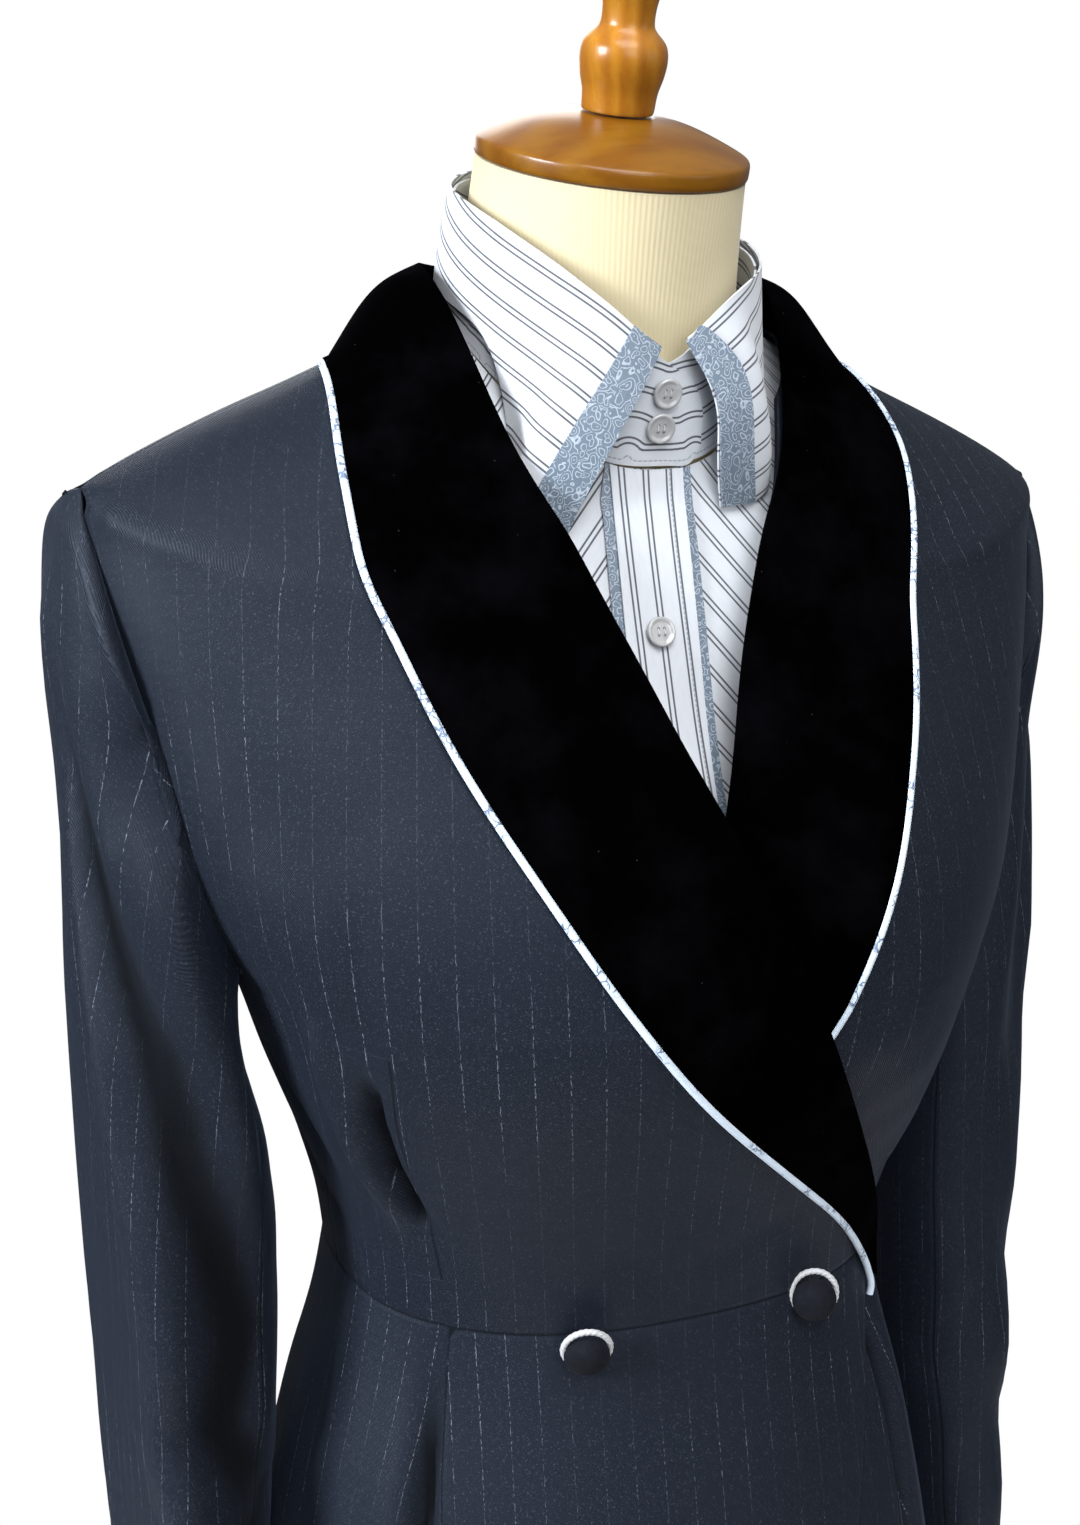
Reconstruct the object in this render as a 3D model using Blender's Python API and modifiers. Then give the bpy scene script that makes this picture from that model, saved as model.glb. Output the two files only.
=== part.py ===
"""Showmanship suit jacket and its matching shirt on a limbless dress form.

Metres, +Z up. The front faces -Y, so the wearer's right side is -X. The origin is
the centre of the underside of the stand's round base.

Every cloth panel lies on one body surface, skin(height, angle, lift). Its height
is measured from the waist seam and its angle goes round the body from the centre
front, positive towards the wearer's left. A panel's own tables give an angle as
out: degrees from the centre front towards the panel's own side.
"""
import math
from collections import namedtuple

import bpy
from mathutils import Vector

# Driving dimensions
WAIST = 0.850            # height of the waist seam above the floor
HEM = -0.235             # jacket hem, from the waist seam
SHIRT_HEM = -0.190
TORSO_END = -0.290       # underside of the dress form's torso
SUITING = 0.0014         # cloth thicknesses
VELVET = 0.0016
SHIRTING = 0.0010
LAYER = 0.0010           # air between two layers of cloth
SEAM = 0.0003            # air at a seam or under something sewn on
SEAM_ANGLE = 0.14        # half of a vertical seam's gap, in degrees round the body
UNDERLAP = 0.0072        # how far the left front drops behind the right one
SHIRT_INSET = 0.0105     # shirt's outer face behind the jacket's inner face
SHIRT_HOLLOW = 0.0120    # and how much deeper at the front below the neck
FORM_INSET = 0.0050      # form behind the shirt's outer face
FRONT_SLIT = 49.5        # out angle of the front dart, its seam and the slit below
BACK_SEAM = 136.0        # out angle of the seam between side and back skirt
NECK_TILT = 0.285        # forward lean of the neck, in radians
NECK_TOP = Vector((0.0, -0.0252, WAIST + 0.4505))
NECK_RADIUS = 0.0535
CAP_SINK = 0.0035        # underside of the wooden cap, below the neck's reference point
PIPING = 0.0014          # radius
ROLL = 0.0020            # how far the lapel's fold stands off
FOLD_COVER = 1.0         # degrees by which the fold covers the edge of the bodice front
COLLAR_BULGE = 0.0005
BUTTON_RADIUS = 0.0104   # with its cord
POLE_RADIUS = 0.015
BASE_RADIUS = 0.190
BASE_THICKNESS = 0.026

# Body rings: height at the side seam, centre front and centre back, then the half
# width, the reach to front and back, the y of the widest line, and the squareness.
Ring = namedtuple("Ring", "side front back half fore aft ridge square")
BODY = [
    Ring(-0.290, -0.290, -0.290, 0.170, 0.158, 0.172, 0.000, 2.20),
    Ring(-0.240, -0.240, -0.240, 0.167, 0.156, 0.168, 0.000, 2.20),
    Ring(-0.160, -0.160, -0.160, 0.153, 0.147, 0.146, -0.006, 2.20),
    Ring(-0.080, -0.080, -0.080, 0.137, 0.132, 0.118, -0.010, 2.25),
    Ring(-0.030, -0.030, -0.030, 0.124, 0.120, 0.095, -0.014, 2.30),
    Ring(0.000, 0.000, 0.000, 0.118, 0.115, 0.088, -0.016, 2.40),
    Ring(0.040, 0.040, 0.040, 0.125, 0.124, 0.092, -0.018, 2.50),
    Ring(0.090, 0.090, 0.090, 0.142, 0.142, 0.101, -0.014, 2.60),
    Ring(0.130, 0.128, 0.132, 0.155, 0.150, 0.107, -0.008, 2.65),
    Ring(0.170, 0.166, 0.174, 0.176, 0.146, 0.111, -0.003, 2.50),
    Ring(0.220, 0.208, 0.228, 0.191, 0.131, 0.111, 0.000, 2.35),
    Ring(0.270, 0.245, 0.280, 0.203, 0.113, 0.106, 0.000, 2.20),
    Ring(0.325, 0.283, 0.317, 0.209, 0.094, 0.090, -0.003, 2.10),
    Ring(0.345, 0.303, 0.338, 0.169, 0.086, 0.088, -0.003, 2.10),
    Ring(0.366, 0.322, 0.359, 0.120, 0.080, 0.084, -0.003, 2.10),
    Ring(0.386, 0.335, 0.380, 0.078, 0.077, 0.078, -0.005, 2.00),
    Ring(0.400, 0.350, 0.398, 0.070, 0.080, 0.070, -0.008, 2.00),
    Ring(0.420, 0.368, 0.418, 0.068, 0.084, 0.060, -0.012, 2.00),
]

# Shawl lapel: its fold line and its outer edge, from the centre back to its point,
# and how much further out the left lapel's fold and edge lie.
Lapel = namedtuple("Lapel", "fold_height fold_out edge_height edge_out left_fold left_edge")
LAPEL = [
    Lapel(0.408, 180.0, 0.367, 180.0, 0.0, 0.0),
    Lapel(0.409, 140.0, 0.368, 142.0, 0.0, 0.0),
    Lapel(0.410, 104.0, 0.3705, 108.0, 0.0, 0.0),
    Lapel(0.407, 82.0, 0.3695, 84.0, 0.0, 0.0),
    Lapel(0.396, 66.0, 0.3635, 67.0, 0.0, 0.0),
    Lapel(0.381, 46.0, 0.353, 52.5, -3.0, -1.0),
    Lapel(0.363, 24.0, 0.340, 40.4, -4.0, -4.0),
    Lapel(0.350, 16.0, 0.325, 34.4, -3.0, -5.2),
    Lapel(0.336, 11.0, 0.308, 31.9, -2.5, -4.4),
    Lapel(0.300, 6.5, 0.278, 29.4, -2.0, -3.0),
    Lapel(0.262, 4.0, 0.243, 26.0, -1.4, -2.2),
    Lapel(0.228, 1.2, 0.212, 21.9, -0.6, -1.3),
    Lapel(0.190, -1.3, 0.181, 17.2, 0.0, 0.0),
    Lapel(0.150, -4.8, 0.149, 12.0, 0.0, 1.7),
    Lapel(0.113, -10.5, 0.117, 5.2, 0.0, 4.0),
    Lapel(0.082, -18.0, 0.090, 0.0, 0.0, 4.0),
    Lapel(0.054, -29.0, 0.065, -7.6, 0.0, 4.0),
    Lapel(0.028, -41.0, 0.041, -21.0, 0.0, 2.0),
    Lapel(0.008, -50.0, 0.018, -35.0, 0.0, 0.0),
    Lapel(-0.010, -53.0, -0.004, -47.0, 0.0, 0.0),
    Lapel(-0.017, -52.0, -0.0155, -50.0, 0.0, 0.0),
]

# Free front edge of the skirt of the jacket, from the waist seam to the hem.
Wrap = namedtuple("Wrap", "height out")
WRAP = [
    Wrap(-0.240, -17.0),
    Wrap(-0.170, -22.0),
    Wrap(-0.109, -28.0),
    Wrap(-0.060, -37.0),
    Wrap(-0.025, -46.0),
    Wrap(0.000, -52.0),
]

# Sleeve sections below the armhole: the outer and inner ends, the middle and half
# of the depth from front to back.
Section = namedtuple("Section", "outer_x outer_z inner_x inner_z middle_y half_depth")
SLEEVE = [
    Section(0.2170, 0.3100, 0.1700, 0.1060, 0.018, 0.069),
    Section(0.2175, 0.2800, 0.1580, 0.0840, 0.021, 0.075),
    Section(0.2170, 0.2300, 0.1480, 0.0550, 0.024, 0.078),
    Section(0.2155, 0.1600, 0.1440, 0.0170, 0.025, 0.079),
    Section(0.2140, 0.0700, 0.1450, -0.0300, 0.023, 0.078),
    Section(0.2120, -0.0300, 0.1500, -0.0950, 0.019, 0.075),
    Section(0.2095, -0.1300, 0.1610, -0.1650, 0.013, 0.070),
    Section(0.2070, -0.2450, 0.1730, -0.2450, 0.005, 0.063),
]
SLEEVE_SQUARE = 2.5      # squareness of the sections, which starts from 2 at the armhole
SLEEVE_SEAM = 2.6        # place of both sleeve seams, in armhole steps from the underarm
UNDER_COLUMNS, TOP_COLUMNS = 7, 13
SLEEVE_TURN = 0.0045     # how far the sleeve stands out where it turns down from the armhole
ARMHOLE_LOW, ARMHOLE_HIGH = 0.132, 0.325
ARMHOLE_FRONT, ARMHOLE_BACK = 15.0, 22.0     # reach from the side line, in degrees
ARMHOLE_STEPS = 8                            # from the underarm to the shoulder

# Shirt collar: out angle, heights of neckline and fold line along the neck, and the
# reach of the stand's inner face outside the form's neck.
Collar = namedtuple("Collar", "out base fold reach")
COLLAR = [
    Collar(0.0, -0.101, -0.058, 0.0088),
    Collar(8.0, -0.101, -0.052, 0.0088),
    Collar(28.0, -0.095, -0.036, 0.0084),
    Collar(52.0, -0.080, -0.024, 0.0070),
    Collar(78.0, -0.067, -0.018, 0.0058),
    Collar(100.0, -0.066, -0.017, 0.0054),
    Collar(140.0, -0.078, -0.017, 0.0054),
    Collar(180.0, -0.084, -0.018, 0.0054),
]
COLLAR_SLOPE = 0.014     # how much lower the fold line lies on the wearer's left
# Collar leaf: where each stretch of the fold line comes down to on the body, and
# how much further out and higher that is on the left.
Leaf = namedtuple("Leaf", "fold_out edge_height edge_out left_out left_height")
LEAF = [
    Leaf(2.5, 0.352, 14.0, -3.0, 0.009),
    Leaf(16.0, 0.357, 25.0, -4.0, 0.005),
    Leaf(27.0, 0.373, 33.0, -1.5, 0.002),
    Leaf(38.0, 0.381, 43.0, 0.0, 0.0),
    Leaf(60.0, 0.392, 62.0, 0.0, 0.0),
    Leaf(85.0, 0.392, 85.0, 0.0, 0.0),
    Leaf(180.0, 0.392, 180.0, 0.0, 0.0),
]
LEAF_OUT = 0.0020        # leaf's inner face, outside the stand's inner face
LEAF_SWAY = 0.080        # how far the left leaf's front edge curls out near its fold
LEAF_TRIM = 9.5          # width of the leaf's trim, in degrees of the fold line
LEAF_SWELL = 0.0060         # height of the left leaf's soft roll
PLACKET_LEFT, PLACKET_RIGHT = -0.0175, 0.0135
PLACKET_END = -0.120
PLACKET_LEAN = 0.025     # how far the placket drifts to the right per metre down from the neck
PLACKET_BUTTON_X = -0.0065
PLACKET_TRIM = 0.0042

RIGHT, LEFT = -1, 1
SIDE_NAMES = {RIGHT: "right", LEFT: "left"}
BUTTON_OUT = {RIGHT: 20.0, LEFT: 23.0}       # out angles of the waist buttons


# ---------------------------------------------------------------- tables and surface
def read(table, value):
    """Row of a table at a value of its first column, by smooth interpolation."""
    rows = sorted(table)
    keys = [row[0] for row in rows]
    value = min(max(value, keys[0]), keys[-1])
    i = 0
    while i < len(keys) - 2 and value > keys[i + 1]:
        i += 1
    span = keys[i + 1] - keys[i]
    t = (value - keys[i]) / span

    def slope(k, column):
        before = (column[k] - column[k - 1]) / (keys[k] - keys[k - 1]) if k else None
        after = (column[k + 1] - column[k]) / (keys[k + 1] - keys[k]) if k < len(keys) - 1 else None
        if before is None or after is None:
            return after if before is None else before
        return 0.0 if before * after <= 0 else 2 * before * after / (before + after)

    values = []
    for column in zip(*rows):
        start, end = slope(i, column) * span, slope(i + 1, column) * span
        values.append((2 * t**3 - 3 * t**2 + 1) * column[i] + (t**3 - 2 * t**2 + t) * start
                      + (3 * t**2 - 2 * t**3) * column[i + 1] + (t**3 - t**2) * end)
    return type(rows[0])(*values)


def ease(value, low, high):
    """0 below low, 1 above high and smooth between."""
    t = min(max((value - low) / (high - low), 0.0), 1.0)
    return t * t * (3 - 2 * t)


def body(height, angle):
    """Point of the body surface, a squared oval whose plane dips to the front."""
    ring = read(BODY, height)
    turn = math.radians(angle)
    across, along = math.sin(turn), math.cos(turn)
    power = 2 / ring.square
    reach = -ring.fore - ring.ridge if along >= 0 else ring.aft - ring.ridge
    rise = (ring.front if along >= 0 else ring.back) - ring.side
    return Vector((ring.half * math.copysign(abs(across) ** power, across),
                   ring.ridge + reach * abs(along) ** power,
                   WAIST + ring.side + rise * abs(along) ** 1.5))


def skin(height, angle, lift=0.0):
    """Body surface moved out along its normal by lift."""
    low, high = max(height - 0.002, BODY[0].side), min(height + 0.002, BODY[-1].side)
    up = body(high, angle) - body(low, angle)
    round_body = body(height, angle + 1.0) - body(height, angle - 1.0)
    return body(height, angle) + round_body.cross(up).normalized() * lift


def angle_at(height, x):
    """Angle on the front of a body ring that lies at x."""
    ring = read(BODY, height)
    share = min(abs(x) / ring.half, 1.0)
    return math.copysign(math.degrees(math.asin(share ** (ring.square / 2))), x)


def neck(angle, height, out):
    """Point out from the form's neck; height runs along its leaning axis."""
    axis = Vector((0, -math.sin(NECK_TILT), math.cos(NECK_TILT)))
    front = Vector((0, -math.cos(NECK_TILT), -math.sin(NECK_TILT)))
    turn = math.radians(angle)
    flare = (max(0.0, -height) / 0.08) ** 1.5
    across = (NECK_RADIUS + 0.006 * flare + out) * math.sin(turn)
    ahead = (NECK_RADIUS + 0.008 * flare + out) * math.cos(turn)
    return NECK_TOP + axis * height + Vector((across, 0, 0)) + front * ahead


def spread(start, end, count):
    return [start + (end - start) * k / (count - 1) for k in range(count)]


# ---------------------------------------------------------------- materials and solids
def material(name, colour, roughness, sheen=0.0):
    made = bpy.data.materials.new(name)
    made.use_nodes = True
    shader = made.node_tree.nodes["Principled BSDF"]
    shader.inputs["Base Color"].default_value = (*colour, 1)
    shader.inputs["Roughness"].default_value = roughness
    shader.inputs["Metallic"].default_value = 0.0
    shader.inputs["Sheen Weight"].default_value = sheen
    made.diffuse_color = (*colour, 1)
    return made


def finish(part, name, surface):
    part.name = name
    part.data.name = name
    part.data.materials.clear()
    part.data.materials.append(surface)
    for collection in list(part.users_collection):
        collection.objects.unlink(part)
    PARTS.objects.link(part)
    return part


def cloth(name, grid, thickness, surface, outward=True):
    """Panel from a grid of points: rows go up and each row turns towards +X."""
    columns = len(grid[0])
    vertices = [point for row in grid for point in row]
    faces = [(r * columns + c, r * columns + c + 1, (r + 1) * columns + c + 1, (r + 1) * columns + c)
             for r in range(len(grid) - 1) for c in range(columns - 1)]
    mesh = bpy.data.meshes.new(name)
    mesh.from_pydata(vertices, [], faces)
    mesh.shade_smooth()
    part = bpy.data.objects.new(name, mesh)
    wall = part.modifiers.new("cloth", "SOLIDIFY")
    wall.thickness = thickness
    wall.offset = 1 if outward else -1
    PARTS.objects.link(part)
    return finish(part, name, surface)


def tube_wall(name, rings, first, last, surface):
    """Part of a tube's wall between two columns of its rings, one suiting thick."""
    rows, columns, around = len(rings), last - first, len(rings[0])
    outer = [ring[first:last] for ring in rings]
    inner = []
    for r, ring in enumerate(rings):
        before, after = rings[max(r - 1, 0)], rings[min(r + 1, rows - 1)]
        row = []
        for c in range(first, last):
            across = ring[(c + 2) % around] - ring[c - 2]
            row.append(ring[c] - across.cross(after[c] - before[c]).normalized() * SUITING)
        inner.append(row)
    vertices = [point for grid in (outer, inner) for row in grid for point in row]
    shift = rows * columns
    faces = []
    for r in range(rows - 1):
        for c in range(columns - 1):
            a, d = r * columns + c, (r + 1) * columns + c + 1
            b, e = a + 1, d - 1
            faces += [(a, b, d, e), (e + shift, d + shift, b + shift, a + shift)]
    rim = [c for c in range(columns)] + [r * columns + columns - 1 for r in range(1, rows)]
    rim += [(rows - 1) * columns + c for c in range(columns - 2, -1, -1)]
    rim += [r * columns for r in range(rows - 2, 0, -1)]
    for a, b in zip(rim, rim[1:] + rim[:1]):
        faces.append((b, a, a + shift, b + shift))
    mesh = bpy.data.meshes.new(name)
    mesh.from_pydata(vertices, [], faces)
    mesh.shade_smooth()
    part = bpy.data.objects.new(name, mesh)
    PARTS.objects.link(part)
    return finish(part, name, surface)


def panel(name, side, heights, inner, outer, count, lift, thickness, surface):
    """Body panel between two out angles that depend on the height."""
    grid = []
    for height in heights:
        row = []
        for out in spread(outer(height), inner(height), count):
            row.append(skin(height, side * out, lift(height, out)))
        grid.append(row if side == RIGHT else row[::-1])
    return cloth(name, grid, thickness, surface)


def turned(name, profile, surface, steps=24, ring=False):
    """Solid turned about its own Z from (radius, height) pairs, top to bottom."""
    mesh = bpy.data.meshes.new(name)
    edges = [(k, k + 1) for k in range(len(profile) - 1)]
    if ring:
        edges.append((len(profile) - 1, 0))
    mesh.from_pydata([(radius, 0, height) for radius, height in profile], edges, [])
    part = bpy.data.objects.new(name, mesh)
    screw = part.modifiers.new("turn", "SCREW")
    screw.steps = steps
    screw.render_steps = steps
    screw.use_merge_vertices = True
    screw.merge_threshold = 0.00001
    screw.use_smooth_shade = True
    PARTS.objects.link(part)
    return finish(part, name, surface)


def stand_on(part, place, normal):
    """Put a turned part's base at a place, its axis along a normal."""
    part.location = place
    part.rotation_euler = normal.to_track_quat("Z", "Y").to_euler()
    return part


def surface_frame(height, angle, lift):
    """Place and outward direction on the body surface."""
    place = skin(height, angle, lift)
    return place, (skin(height, angle, lift + 0.01) - place).normalized()


# ---------------------------------------------------------------- jacket
def under(side):
    """Lift of a jacket panel: the left front slips behind the right one."""
    def lift(height, out):
        if side == RIGHT:
            return 0.0
        limit = -(read(FOLD[RIGHT], height).out if height > 0 else read(WRAP, height).out)
        return -UNDERLAP * (1 - ease(out, limit + 2.0, limit + 18.0))
    return lift


def armhole(step, reach):
    """Height and out angle of the armhole, step 0 at the underarm."""
    turn = math.pi * step / ARMHOLE_STEPS
    middle = (ARMHOLE_LOW + ARMHOLE_HIGH) / 2
    height = middle - (ARMHOLE_HIGH - ARMHOLE_LOW) / 2 * math.cos(turn)
    return height, 90.0 - reach * math.sin(turn)


def armhole_out(height, reach):
    middle, half = (ARMHOLE_LOW + ARMHOLE_HIGH) / 2, (ARMHOLE_HIGH - ARMHOLE_LOW) / 2
    share = min(abs(height - middle) / half, 1.0)
    return 90.0 - reach * math.sqrt(1 - share * share)


SHOULDER_HEIGHTS = [0.345, 0.362, 0.384]


def bodice_heights():
    waist_up = [LAYER / 2, 0.022, 0.045, 0.068, 0.090, 0.111]
    return waist_up + [armhole(k, 0)[0] for k in range(ARMHOLE_STEPS + 1)] + SHOULDER_HEIGHTS


def make_bodice(side):
    name = SIDE_NAMES[side]
    panel("bodice_front_" + name, side, bodice_heights(),
          lambda height: read(FOLD[side], height).out + FOLD_COVER,
          lambda height: armhole_out(height, ARMHOLE_FRONT) - SEAM_ANGLE,
          10, under(side), SUITING, SUIT)
    panel("bodice_back_" + name, side, bodice_heights(),
          lambda height: armhole_out(height, -ARMHOLE_BACK) + SEAM_ANGLE,
          lambda height: 180.0 - SEAM_ANGLE,
          8, lambda height, out: 0.0, SUITING, SUIT)


def front_seam(height):
    """Out angle of the seam and slit below the front dart."""
    return FRONT_SLIT - 6.0 * ease(-height, 0.0, 0.170)


def make_skirt(side):
    name = SIDE_NAMES[side]
    lift = under(side)
    heights = spread(HEM, -LAYER / 2, 8)

    def slit(height):
        """Half of the slit's width in degrees: it opens below the waist seam."""
        return SEAM_ANGLE + 2.2 * ease(-height, 0.02, 0.30)

    def lapped(height, out):
        """The side panel's front strip lies behind the front panel."""
        seam = front_seam(height)
        return lift(height, out) - 0.0036 * (1 - ease(out, seam - 3.0, seam + 5.0))

    panel("skirt_front_" + name, side, heights,
          lambda height: read(WRAP, height).out,
          lambda height: front_seam(height) - slit(height),
          9, lift, SUITING, SUIT)
    panel("skirt_side_" + name, side, heights,
          lambda height: front_seam(height) - 9.0,
          lambda height: BACK_SEAM - SEAM_ANGLE,
          13 if side == LEFT else 9, lapped, SUITING, SUIT)
    panel("skirt_back_" + name, side, heights,
          lambda height: BACK_SEAM + SEAM_ANGLE,
          lambda height: 180.0 - SEAM_ANGLE,
          5, lambda height, out: 0.0, SUITING, SUIT)


def sleeve_ring(side, section, square, steps):
    """Points of a sleeve section from the underarm over the front, top and back."""
    outer = Vector((side * section.outer_x, section.middle_y, WAIST + section.outer_z))
    inner = Vector((side * section.inner_x, section.middle_y, WAIST + section.inner_z))
    middle, reach = (outer + inner) / 2, (inner - outer) / 2
    points = []
    for step in steps:
        turn = math.pi * step / ARMHOLE_STEPS
        down, ahead = (math.copysign(abs(value) ** (2 / square), value)
                       for value in (math.cos(turn), math.sin(turn)))
        points.append(middle + reach * down + Vector((0, -section.half_depth * ahead, 0)))
    return points


def sleeve_head(side, steps):
    """First sleeve ring, just inside the armhole of the bodice."""
    centre = skin((ARMHOLE_LOW + ARMHOLE_HIGH) / 2, side * 90.0)
    points = []
    for step in steps:
        front = step <= ARMHOLE_STEPS
        reach = ARMHOLE_FRONT if front else -ARMHOLE_BACK
        height, out = armhole(step if front else 2 * ARMHOLE_STEPS - step, reach)
        place = skin(height, side * out, SUITING + SEAM * 3)
        points.append(place + (centre - place).normalized() * SUITING)
    return points


def sleeve_steps(gap):
    """Steps round the sleeve for the under sleeve, then for the top sleeve."""
    return (spread(-SLEEVE_SEAM + gap, SLEEVE_SEAM - gap, UNDER_COLUMNS)
            + spread(SLEEVE_SEAM + gap, 2 * ARMHOLE_STEPS - SLEEVE_SEAM - gap, TOP_COLUMNS))


def make_sleeve(side):
    """Top sleeve over the outside, under sleeve on the inside, seams at both edges."""
    name = SIDE_NAMES[side]
    at_armhole, below = sleeve_steps(0.075), sleeve_steps(0.026)
    first = sleeve_head(side, [step % (2 * ARMHOLE_STEPS) for step in at_armhole])
    hung = [sleeve_ring(side, section, min(2.1 + 0.2 * k, SLEEVE_SQUARE), below if k else at_armhole)
            for k, section in enumerate(SLEEVE)]
    turn = [start.lerp(end, 0.42) + Vector((side * SLEEVE_TURN, 0, 0)) for start, end in zip(first, hung[0])]
    rings = [first, turn] + hung
    if side == LEFT:
        rings = rings[::-1]
    tube_wall("sleeve_under_" + name, rings, 0, UNDER_COLUMNS, SUIT)
    tube_wall("sleeve_top_" + name, rings, UNDER_COLUMNS, UNDER_COLUMNS + TOP_COLUMNS, SUIT)


def smooth_rows(rows):
    """Table rows with one more between each two, on smooth curves through them."""
    made = [rows[0]]
    for k in range(1, len(rows)):
        before, after = rows[max(k - 2, 0)], rows[min(k + 1, len(rows) - 1)]
        made.append(type(rows[0])(*((a + b) * 0.5625 - (c + d) * 0.0625
                                    for a, b, c, d in zip(rows[k - 1], rows[k], before, after))))
        made.append(rows[k])
    return made


def lapel_points(side):
    """Rows of the lapel's inner face, fold to edge, and the body's normal at each edge."""
    lift = under(side)
    rows, normals = [], []
    for row in smooth_rows(LAPEL if side == RIGHT else LAPEL[:-2]):
        edge_out = row.edge_out + (row.left_edge if side == LEFT else 0.0)
        fold_out = row.fold_out + (row.left_fold if side == LEFT else 0.0)
        on_collar = ease(fold_out, 20.0, 66.0)

        def place(height, out, roll):
            return skin(height, side * out, lift(height, out) + SUITING + LAYER + roll)

        fold = place(row.fold_height, fold_out, ROLL)
        edge = place(row.edge_height, edge_out, 0.0006 * on_collar)
        middle = (row.fold_height + row.edge_height) / 2
        away = surface_frame(middle, side * (fold_out + edge_out) / 2, 0.0)[1]
        points = []
        for share in spread(0.0, 1.0, 4):
            height = row.fold_height + (row.edge_height - row.fold_height) * share
            out = fold_out + (edge_out - fold_out) * share
            laid = place(height, out, ROLL * (1 - share) ** 2)
            spanned = fold.lerp(edge, share) + away * COLLAR_BULGE * math.sin(math.pi * share)
            points.append(laid + away * max(0.0, (spanned - laid).dot(away)) * on_collar)
        rows.append(points)
        normals.append(surface_frame(row.edge_height, side * edge_out, 0.0)[1])
    return rows, normals


def make_lapel(side):
    name = SIDE_NAMES[side]
    rows, normals = lapel_points(side)
    rows[0] = [point + Vector((side * SEAM, 0, 0)) for point in rows[0]]
    # Rows run down the front; across goes from the fold outwards.
    grid = [row[::-1] if side == RIGHT else row for row in rows[::-1]]
    cloth("lapel_" + name, grid, VELVET, VELVET_BLACK)
    aside = PIPING + SEAM + 0.0004
    path = []
    for k in range(1, len(rows)):
        edge, inner = rows[k][-1], rows[k][-2]
        along = (rows[min(k + 1, len(rows) - 1)][-1] - rows[k - 1][-1]).normalized()
        outward = edge - inner
        normal = (normals[k] - along * normals[k].dot(along)).normalized()
        outward = (outward - along * outward.dot(along) - normal * outward.dot(normal)).normalized()
        path.append(edge + outward * aside + normal * (PIPING + SEAM))
    path.append(edge + (along + outward) * aside + normal * (PIPING + SEAM))
    path.append(edge + along * aside + normal * (PIPING + SEAM))
    make_piping("piping_" + name, path)


def make_piping(name, path):
    curve = bpy.data.curves.new(name, "CURVE")
    curve.dimensions = "3D"
    curve.bevel_depth = PIPING
    curve.bevel_resolution = 0
    curve.use_fill_caps = True
    spline = curve.splines.new("POLY")
    spline.points.add(len(path) - 1)
    for point, place in zip(spline.points, path):
        point.co = (*place, 1)
    part = bpy.data.objects.new(name, curve)
    PARTS.objects.link(part)
    return finish(part, name, PIPING_SATIN)


def make_waist_button(side):
    """Velvet covered dome in a ring of cord."""
    name = SIDE_NAMES[side]
    place, normal = surface_frame(-0.004, side * BUTTON_OUT[side], SUITING + 0.0016)
    thick = 0.0012
    middle = BUTTON_RADIUS - thick
    radius = middle - thick - SEAM
    dome = [(0.0, 0.0060)]
    dome += [(radius * math.sin(math.radians(t)), 0.0014 + 0.0046 * math.cos(math.radians(t)))
             for t in (30, 60, 90)]
    dome += [(radius * 0.92, 0.0), (0.0, 0.0)]
    stand_on(turned("waist_button_" + name, dome, VELVET_BLACK, 16), place, normal)
    ring = [(middle + thick * math.cos(turn), thick + thick * math.sin(turn))
            for turn in spread(0.0, -math.tau, 7)[:-1]]
    stand_on(turned("waist_button_cord_" + name, ring, PIPING_SATIN, 14, ring=True), place, normal)


# ---------------------------------------------------------------- shirt
def contact(height, out):
    """1 where shirt and jacket rest on the shoulder line, 0 where they hang clear."""
    return ease(height, 0.331, 0.345) * (1 - ease(abs(out - 90.0), 3.0, 24.0))


def shirt_lift(height, out, outer=0.0):
    """Inner face of the shirt, plus outer."""
    hollow = SHIRT_HOLLOW * (1 - ease(height, 0.230, 0.370)) * (1 - ease(abs(out), 35.0, 80.0))
    inset = SHIRT_INSET + hollow
    inset += (0.0006 - inset) * contact(height, out)
    return outer - inset - SHIRTING


SHIRT_LOW = [SHIRT_HEM, -0.120, -0.060, -0.025, 0.0, 0.030, 0.070, 0.108]


def shirt_top(out):
    """Last height of the shirt on the body surface, below the neckline."""
    return 0.371 + 0.009 * math.sin(math.radians(min(abs(out), 90.0))) ** 2


def neckline(angle):
    """Neckline of the shirt, just below the stand."""
    row = read(COLLAR, min(abs(angle), 360 - abs(angle)))
    return neck(angle, row.base - 6 * SEAM, row.reach)


def fold_line(angle, out=0.0):
    """Fold line of the shirt collar."""
    row = read(COLLAR, abs(angle))
    drop = COLLAR_SLOPE * max(0.0, math.sin(math.radians(angle))) * ease(angle, 14.0, 60.0)
    return neck(angle, row.fold - drop, row.reach + out)


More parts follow.
